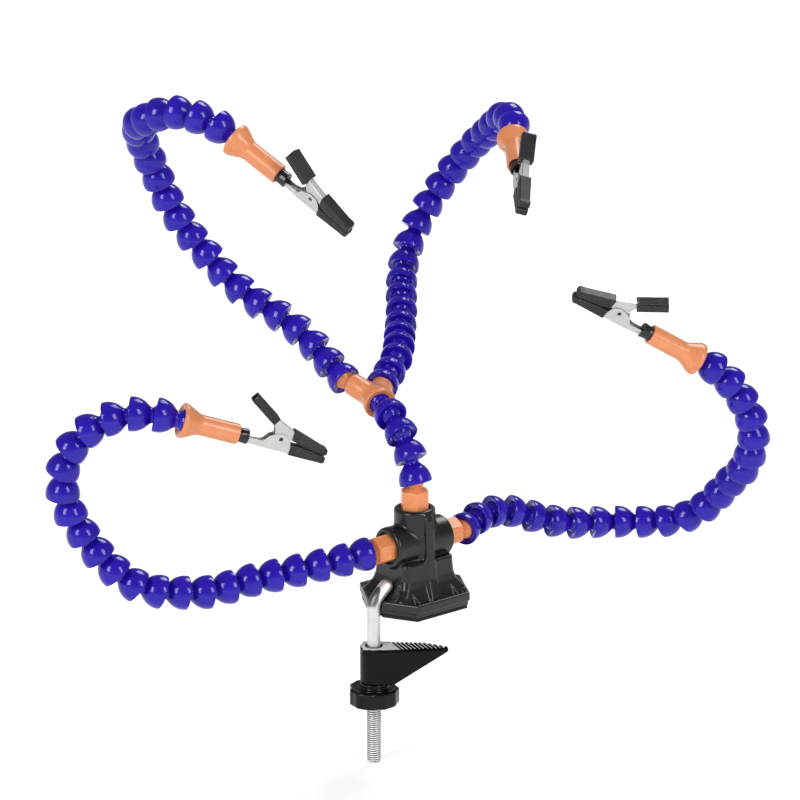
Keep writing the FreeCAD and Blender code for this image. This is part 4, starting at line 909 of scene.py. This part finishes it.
def fixed_jaw_mesh():
    h = CLIP_W / 2
    g = Field((-9.5, -3.5, -h), (46.4, 6.6, h), 0.19)
    x, y, z = g.x, g.y, g.z
    half = plan_width(x, [(-15, TAIL_W / 2), (9.7, TAIL_W / 2), (14.5, h), (60, h)])
    side = outline(x, y, fillet(FIXED_SIDE, [0.3, 0, 0, 0.5, 0.4, 0.6, 1.2, 1.6, 2.2, 1.6, 2.0, 1.4, 0.8, 0.3], steps=4))
    k = np.interp(y.ravel(), [-3.0, -1.6, 0.0], [0.75, 0.5, 0.18])[None, :, None].astype(np.float32)
    d = smax(side, np.abs(z) - half, k)
    floor = np.interp(x.ravel(), [-20, 14.2, 27.1, 46.2], [-3.0, -3.0, -3.2, -3.3])[:, None, None].astype(np.float32) + SHEET
    inner = smax(floor - y, np.abs(z) - half + SHEET, 0.35)
    d = smax(d, -inner, 0.12)
    # pivot hole
    rho = hyp(x - PIVOT[0], y - PIVOT[1])
    d = np.maximum(d, PIN_R - rho)
    return g.mesh(d, 0.4)


def moving_jaw_mesh():
    h = MOVING_W / 2
    t = 0.85 * SHEET
    g = Field((3.0, 0.8, -h), (46.4, 21.8, h), 0.19)
    x, y, z = g.x, g.y, g.z
    side = outline(x, y, fillet(MOVING_SIDE, [0.4, 1.4, 1.2, 0.9, 0.5, 0.5, 0.8, 0.4, 0.5, 0.8, 1.2, 0.5], steps=4))
    top = np.interp(x.ravel(), [4.3, 18.3, 28.2, 46.2], [21.6, 13.1, 8.8, 3.5])[:, None, None].astype(np.float32)
    k = np.clip(0.18 + 0.5 * (1 - (top - y) / 1.6), 0.18, 0.68)
    d = smax(side, np.abs(z) - h, k)
    room = [(2.6, 20.0 - t), (3.9, 21.5 - 1.2 * t), (18.1, 13.1 - 1.15 * t), (28.0, 8.8 - 1.1 * t), (48.2, 2.95 - 1.1 * t), (48.2, -5.0), (2.6, -5.0)]
    inner = smax(outline(x, y, room), np.abs(z) - h + t, 0.3)
    d = smax(d, -inner, 0.12)
    d = np.maximum(d, PIN_R + 0.05 - hyp(x - PIVOT[0], y - PIVOT[1]))
    return g.mesh(d, 0.4)


def pin_mesh():
    """Riveted pin: a dimpled head each side."""
    l = CLIP_W / 2
    half = [(0.0, PIN_R), (l, PIN_R), (l + 0.07, 0.93), (l + 0.08, 0.72), (l - 0.10, 0.58), (l - 1.2, 0.54), (l - 1.3, 0.02)]
    prof = [(-a, b) for a, b in half[::-1]][:-1] + half[1:]
    prof = [(prof[0][0], 0.02)] + prof[1:]
    v, q = lathe(np.array(prof), 40)
    # local x of the turning becomes the clip's z
    v = v[:, [1, 2, 0]] + np.array([PIVOT[0], PIVOT[1], 0])
    return v, q


def spring_parts():
    """Torsion spring: coil and lower leg, and the upper leg that goes with the lever."""
    w, px, py = 1.0, PIVOT[0], PIVOT[1]
    turns, r = 3.25, 1.52
    a = np.linspace(-0.5 * np.pi, -0.5 * np.pi - 2 * np.pi * turns, int(28 * turns))
    coil = np.stack([px + r * np.cos(a), py + r * np.sin(a), np.linspace(-w + 0.2, w - 0.2, len(a))], 1)
    low = [(px - 10.9, py - 1.52 - 2.45, -w + 0.2), (px - 8.0, py - 1.52 - 1.75, -w + 0.2), (px - 4.5, py - 1.52 - 0.85, -w + 0.2), (px - 2.0, py - 1.52 - 0.2, -w + 0.2)]
    low = [np.array((p[0], max(p[1], -2.0), p[2])) for p in low]
    body = np.concatenate([np.array(low), coil])
    up = np.array([(px - 1.35, py + 0.4, w - 0.2), (px - 1.55, py + 2.2, w - 0.2), (px - 2.2, py + 4.6, w - 0.2), (px - 3.0, py + 7.2, w - 0.2), (px - 3.55, py + 8.35, w - 0.2)])
    return sweep(body, 0.34, 12), sweep(up, 0.34, 12)


def tail_sleeve_mesh():
    """Rubber collar on the tail: flared a little, lightly ribbed, with the tail's slot through it."""
    g = Field((-8.0, -4.3, -4.3), (5.4, 4.3, 4.3), 0.2)
    x, y, z = g.x, g.y, g.z
    rho = hyp(y, z)
    a = np.arctan2(z, y)
    r = np.interp(x.ravel(), [-8.0, 0.3, 1.8, 3.6, 5.3], [3.95, 3.95, 3.80, 3.92, 4.15])[:, None, None].astype(np.float32)
    r = r - 0.10 * np.maximum(0, np.cos(a * 9)) ** 3
    d = slab(rho - r, x + 1.35, 6.65, 0.35)
    hole = slab(rounded_box2(y + 1.35, z, 1.75, 2.05, 0.6), x, 20.0, 0.0)
    mouth = np.maximum(rounded_box2(y + 0.9, z, 2.35, 2.55, 1.3), 3.5 - x)
    mouth = np.maximum(mouth, rho - 3.35)
    d = smax(d, -hole, 0.15)
    d = smax(d, -mouth, 0.45)
    return g.mesh(d, 0.5)


def grooved(d, z, across, half, pitch, depth, width):
    """Cuts lengthwise grooves, across being the distance from the groove field's middle."""
    k = np.round(across / pitch)
    off = np.abs(across - k * pitch)
    near = (np.abs(across) < half)
    cut = np.where(near, hyp(off, np.maximum(-d - depth + width, 0)) - width, 1.0)
    return smax(d, -cut, 0.12)


SLEEVE_X = [27.9, 47.8]


def sleeve_mesh(pts, rounding, core, core_half, ylo, yhi, mid, grooves):
    """Jaw sleeve: rounded slab with lengthwise grooves on its flanks and a rounded, slightly swollen nose."""
    x0, x1 = SLEEVE_X
    g = Field((x0, ylo, -3.35), (x1, yhi, 3.35), 0.21)
    x, y, z = g.x, g.y, g.z
    out = outline(x, y, fillet(pts, rounding, steps=5))
    # the flanks draw in behind the nose and at the root
    w = np.interp(x.ravel(), [x0, x0 + 1.2, 35.0, 43.6, 45.9, x1], [3.28, 3.28, 3.16, 3.10, 3.24, 3.05])[:, None, None].astype(np.float32)
    wall = np.abs(z) - w
    line = np.interp(x.ravel(), SLEEVE_X, mid)[:, None, None].astype(np.float32)
    for off0, off1, dep in grooves:
        o = np.interp(x.ravel(), SLEEVE_X, [off0, off1])[:, None, None].astype(np.float32)
        fade = np.interp(x.ravel(), [x0 - 0.9, x0 + 2.1, 42.5, 44.8], [0.0, 1.0, 1.0, 0.0])[:, None, None].astype(np.float32)
        wall = wall + dep * fade * np.exp(-((y - line - o) / 0.24) ** 2)
    d = smax(out, wall, 0.85)
    d = smax(d, -smax(outline(x, y, core), np.abs(z) - core_half, 0.2), 0.15)
    return g.mesh(d, 0.5)


def fixed_sleeve_mesh():
    pts = [(27.9, -3.72), (36.0, -3.82), (44.4, -3.84), (46.3, -3.95), (47.8, -3.35), (47.8, -0.85), (46.9, 0.05), (44.6, 0.32), (33.4, 1.92), (27.9, 1.92)]
    rr = [0.5, 0, 0.8, 0.9, 1.1, 0.9, 0.5, 0.4, 1.0, 0.4]
    core = [(21.0, -3.2), (27.1, -3.2), (46.2, -3.3), (46.2, -0.9), (28.0, 1.0), (27.1, 3.3), (21.0, 3.3)]
    return sleeve_mesh(pts, rr, core, CLIP_W / 2, -4.1, 2.1, [-1.0, -1.95], [(1.25, 0.85, 0.22), (-0.15, -0.05, 0.22), (-1.45, -0.95, 0.12)])


def moving_sleeve_mesh():
    pts = [(27.9, 4.25), (31.4, 3.15), (33.4, 2.38), (46.7, 0.48), (47.8, 1.15), (47.8, 3.55), (47.0, 4.25), (44.6, 4.75), (27.9, 9.88)]
    rr = [0.4, 0.6, 0.6, 0.5, 0.9, 1.1, 0.9, 0.8, 0.6]
    core = [(21.0, 4.6), (26.7, 3.9), (46.2, 1.3), (46.2, 3.5), (28.2, 8.8), (21.0, 12.2)]
    return sleeve_mesh(pts, rr, core, MOVING_W / 2, 0.3, 10.1, [7.0, 2.55], [(1.75, 0.95, 0.24), (0.35, 0.15, 0.26), (-1.15, -0.75, 0.24)])


def lever_sleeve_mesh():
    """Thumb sleeve: flat tube, open at its far end, ribbed lengthwise on its broad faces."""
    p, q = np.array((2.75, 21.17)), np.array((17.05, 11.98))
    e = unit(q - p)
    n = np.array([-e[1], e[0]])
    l = float(np.linalg.norm(q - p))
    g = Field((0.4, 8.9, -4.25), (19.4, 24.2, 4.25), 0.2)
    x, y, z = g.x, g.y, g.z
    u = (x - p[0]) * e[0] + (y - p[1]) * e[1]
    v = (x - p[0]) * n[0] + (y - p[1]) * n[1]
    u, v = np.broadcast_arrays(u, v)
    # cross-section: a rounded rectangle, a touch wider at the open end
    grow = np.clip((3.0 - u) / 3.0, 0, 1) * 0.08
    cs = rounded_box2(v + 0 * z, z + 0 * v, 2.42, 4.02, 0.95) - grow
    # ribs on the broad faces
    band = np.clip((3.5 - np.abs(z)) / 0.5, 0, 1) * np.clip((np.abs(v) - 1.8) / 0.3, 0, 1)
    fade = np.clip((u - 0.9) / 0.5, 0, 1) * np.clip((l - 0.9 - u) / 0.5, 0, 1)
    cs = cs + 0.24 * band * fade * (0.5 + 0.5 * np.cos(2 * np.pi * z / 1.22))
    # and two finer grooves on the narrow sides
    sideb = np.clip((np.abs(z) - 3.3) / 0.3, 0, 1)
    cs = cs + 0.20 * sideb * fade * (np.exp(-((v - 0.75) / 0.22) ** 2) + np.exp(-((v + 0.75) / 0.22) ** 2))
    # the metal end is scooped
    end = l - 0.55 * np.clip(1 - (z / 3.4) ** 2, 0, 1)
    ends = np.maximum(u - end, -u)
    d = smax(cs, ends, 0.6)
    # hollow: a flat mouth at the far end, then the lever's own slot
    mouth = np.maximum(rounded_box2(v + 0 * z, z + 0 * v, 1.35, 3.0, 0.45), u - 3.4)
    slot = np.maximum(rounded_box2(v + 0 * z, z + 0 * v, 1.68, 2.02, 0.2), 2.0 - u)
    d = smax(d, -mouth, 0.3)
    d = smax(d, -slot, 0.12)
    return g.mesh(d, 0.5)


# ------------------------------------------------------------------ assembly
piece("base_moulding", "base", [(*base_mesh(), HOME)], M_BASE, ["base_body"])
piece("pad_sheet", "base", [(*pad_mesh(), HOME)], M_PAD, ["base_pad"])
for name, at, way in (("left", (-PORT_X, 0, PORT_Z), (-1, 0, 0)), ("right", (PORT_X, 0, PORT_Z), (1, 0, 0))):
    piece("hose_fitting_" + name, "base", [(*FITTING, place(at, way))], M_FITTING, ["fitting_" + name])
piece("hose_fitting_top", "base", [(*FITTING, place((0, 0, PORT_TOP), (0, 0, 1), (1, 0, 0)))], M_FITTING, ["fitting_top"])

v, q, e = rod_mesh()
piece("hooked_rod", "rod", [(v, q, HOME), (v, e, HOME)], M_ZINC, ["clamp_rod"])
c, s = math.cos(math.radians(JAW_ANGLE)), math.sin(math.radians(JAW_ANGLE))
JAW_AT = (np.array([[c, -s, 0], [s, c, 0], [0, 0, 1.0]]), np.array([ROD_X, ROD_Y, 0.0]))
ROD_AT = (np.eye(3), np.array([ROD_X, ROD_Y, 0.0]))
piece("wedge_jaw", "jaw", [(*jaw_mesh(), JAW_AT)], M_JAW, ["clamp_jaw"])
piece("hand_knob", "knob", [(*knob_mesh(), ROD_AT)], M_KNOB, ["clamp_knob"])
piece("knob_insert", "knob", [(*nut_mesh(), ROD_AT)], M_BRASS, ["knob_nut"])

links("stem_links_lower", "stem_a", STEM_CENTRES, 0, 2, "stem_links_a")
links("stem_links_upper", "stem_b", STEM_CENTRES, 2, 4, "stem_links_b")
piece("y_branch", "y_piece", [(*y_mesh(), place(STEM_CENTRES[4], Y_AXIS, Y_SPREAD))], M_ORANGE, ["y_fitting"])

FIXED, MOVING, PIN = fixed_jaw_mesh(), moving_jaw_mesh(), pin_mesh()
(COIL_V, COIL_Q, COIL_E), (LEG_V, LEG_Q, LEG_E) = spring_parts()
TAIL, FSL, MSL, LSL = tail_sleeve_mesh(), fixed_sleeve_mesh(), moving_sleeve_mesh(), lever_sleeve_mesh()

for arm, (centres, ndir, side) in ARMS.items():
    a, b, c = GROUPS[arm]
    links(arm + "_hose_root", arm + "_arm_a", centres, a, b, arm + "_links_a")
    links(arm + "_hose_middle", arm + "_arm_b", centres, b, c, arm + "_links_b")
    links(arm + "_hose_end", arm + "_arm_c", centres, c, len(centres) - 1, arm + "_links_c")
    sock, n = np.asarray(centres[-1], float), unit(ndir)
    piece(arm + "_nozzle_cone", arm + "_nozzle", [(*NOZZLE, place(sock, n, side))], M_ORANGE, [arm + "_nozzle"], weighted=True)
    at = place(sock + n * NOZZLE_L, n, side)
    clip, lever = arm + "_clip", arm + "_clip_jaw"
    piece(arm + "_lower_jaw", clip, [(*FIXED, at)], M_NICKEL, [arm + "_fixed_jaw"])
    piece(arm + "_upper_jaw", lever, [(*MOVING, at)], M_NICKEL, [arm + "_moving_jaw"])
    piece(arm + "_rivet_pin", clip, [(*PIN, at)], M_STEEL, [arm + "_clip_pin"])
    piece(arm + "_spring_coil", clip, [(COIL_V, COIL_Q, at), (COIL_V, COIL_E, at)], M_SPRING, [arm + "_clip_spring"])
    piece(arm + "_spring_leg", lever, [(LEG_V, LEG_Q, at), (LEG_V, LEG_E, at)], M_SPRING)
    piece(arm + "_tail_collar", clip, [(*TAIL, at)], M_TAIL, [arm + "_tail_sleeve"])
    piece(arm + "_lower_tip_sleeve", clip, [(*FSL, at)], M_VINYL, [arm + "_fixed_sleeve"])
    piece(arm + "_upper_tip_sleeve", lever, [(*MSL, at)], M_VINYL, [arm + "_moving_sleeve"])
    piece(arm + "_thumb_sleeve", lever, [(*LSL, at)], M_VINYL, [arm + "_handle_sleeve"])


# ------------------------------------------------------------------ floor, light, camera
def floor_material():
    t = Tree("pale_floor")
    t.link(t.ramp(t.noise(1.2, 2.0), [(0.3, (0.86, 0.86, 0.865)), (0.7, (0.88, 0.88, 0.882))]), t.p.inputs["Base Color"])
    t.link(t.span(t.noise(3.0, 2.0), 0.72, 0.86), t.p.inputs["Roughness"])
    t.set(Specular_IOR_Level=0.2, Emission_Color=(1, 1, 1, 1), Emission_Strength=0.30)
    return t.m


z0 = CAD_LO.z / MM - 0.6
R = 14000.0
a = 2 * np.pi * np.arange(96) / 96
rings = [np.stack([r * np.cos(a), r * np.sin(a), np.full(96, z0)], 1) for r in (40, 400, 2000, 6000, R)]
fv = np.concatenate(rings)
i, j = np.meshgrid(np.arange(len(rings) - 1), np.arange(96), indexing="ij")
fq = np.stack([i * 96 + j, (i + 1) * 96 + j, (i + 1) * 96 + (j + 1) % 96, i * 96 + (j + 1) % 96], -1).reshape(-1, 4)
fv = np.concatenate([fv, [[0, 0, z0]]])
ft = np.stack([np.full(96, len(fv) - 1), np.arange(96), (np.arange(96) + 1) % 96], 1)
floor = piece("studio_floor", None, [(fv, fq, HOME), (fv, ft, HOME)], floor_material())

AZ, EL = math.radians(-39.0), math.radians(17.0)
BACK = np.array([math.sin(AZ) * math.cos(EL), -math.cos(AZ) * math.cos(EL), math.sin(EL)])
RIGHT = np.array([math.cos(AZ), math.sin(AZ), 0.0])
UP = np.cross(BACK, RIGHT)

cam = bpy.data.objects.new("camera", bpy.data.cameras.new("camera"))
bpy.context.scene.collection.objects.link(cam)
eye = (-7.817 * RIGHT + 109.71 * UP + 1950.0 * BACK) * MM
cam.matrix_world = Matrix([[RIGHT[k], UP[k], BACK[k], eye[k]] for k in range(3)] + [[0, 0, 0, 1]])
cam.data.sensor_width = 36.0
cam.data.lens = 36.0 * 3617.0 / 800.0
cam.data.clip_start, cam.data.clip_end = 0.05, 60.0
bpy.context.scene.camera = cam


def softbox(name, direction, dist, w, h, watts, colour=(1, 1, 1), at=(0.0, 0.0, 0.08)):
    """Rectangular light at a direction given in the main view's axes (right, up, back)."""
    d = direction[0] * RIGHT + direction[1] * UP + direction[2] * BACK
    d = Vector(d).normalized()
    data = bpy.data.lights.new(name, "AREA")
    data.shape, data.size, data.size_y, data.energy, data.color = "RECTANGLE", w, h, watts, colour
    ob = bpy.data.objects.new(name, data)
    bpy.context.scene.collection.objects.link(ob)
    ob.location = Vector(at) + d * dist
    ob.rotation_mode = "QUATERNION"
    ob.rotation_quaternion = d.to_track_quat("Z", "Y")
    return ob


softbox("softbox_left", (-0.58, 0.24, 0.78), 8.0, 2.4, 4.5, 400.0)
softbox("softbox_right", (0.60, 0.28, 0.75), 8.0, 2.1, 4.3, 275.0)
softbox("softbox_top", (0.30, 0.87, -0.30), 8.0, 3.2, 3.2, 300.0)

world = bpy.data.worlds.new("studio")
bpy.context.scene.world = world
world.use_nodes = True
wt = world.node_tree
bg = wt.nodes["Background"]
tc = wt.nodes.new("ShaderNodeTexCoord")
sep = wt.nodes.new("ShaderNodeSeparateXYZ")
ramp = wt.nodes.new("ShaderNodeValToRGB")
mr = wt.nodes.new("ShaderNodeMapRange")
mr.inputs["From Min"].default_value, mr.inputs["From Max"].default_value = -1.0, 1.0
wt.links.new(tc.outputs["Generated"], sep.inputs[0])
wt.links.new(sep.outputs["Z"], mr.inputs["Value"])
wt.links.new(mr.outputs["Result"], ramp.inputs["Fac"])
els = ramp.color_ramp.elements
els[0].position, els[0].color = 0.0, (0.95, 0.95, 0.95, 1)
els[1].position, els[1].color = 1.0, (0.42, 0.42, 0.43, 1)
for pos, val in ((0.50, 0.95), (0.56, 0.80), (0.70, 0.40)):
    e = els.new(pos)
    e.color = (val, val, val, 1)
wt.links.new(ramp.outputs["Color"], bg.inputs["Color"])
bg.inputs["Strength"].default_value = 0.60
bpy.context.scene.view_settings.view_transform = "Standard"
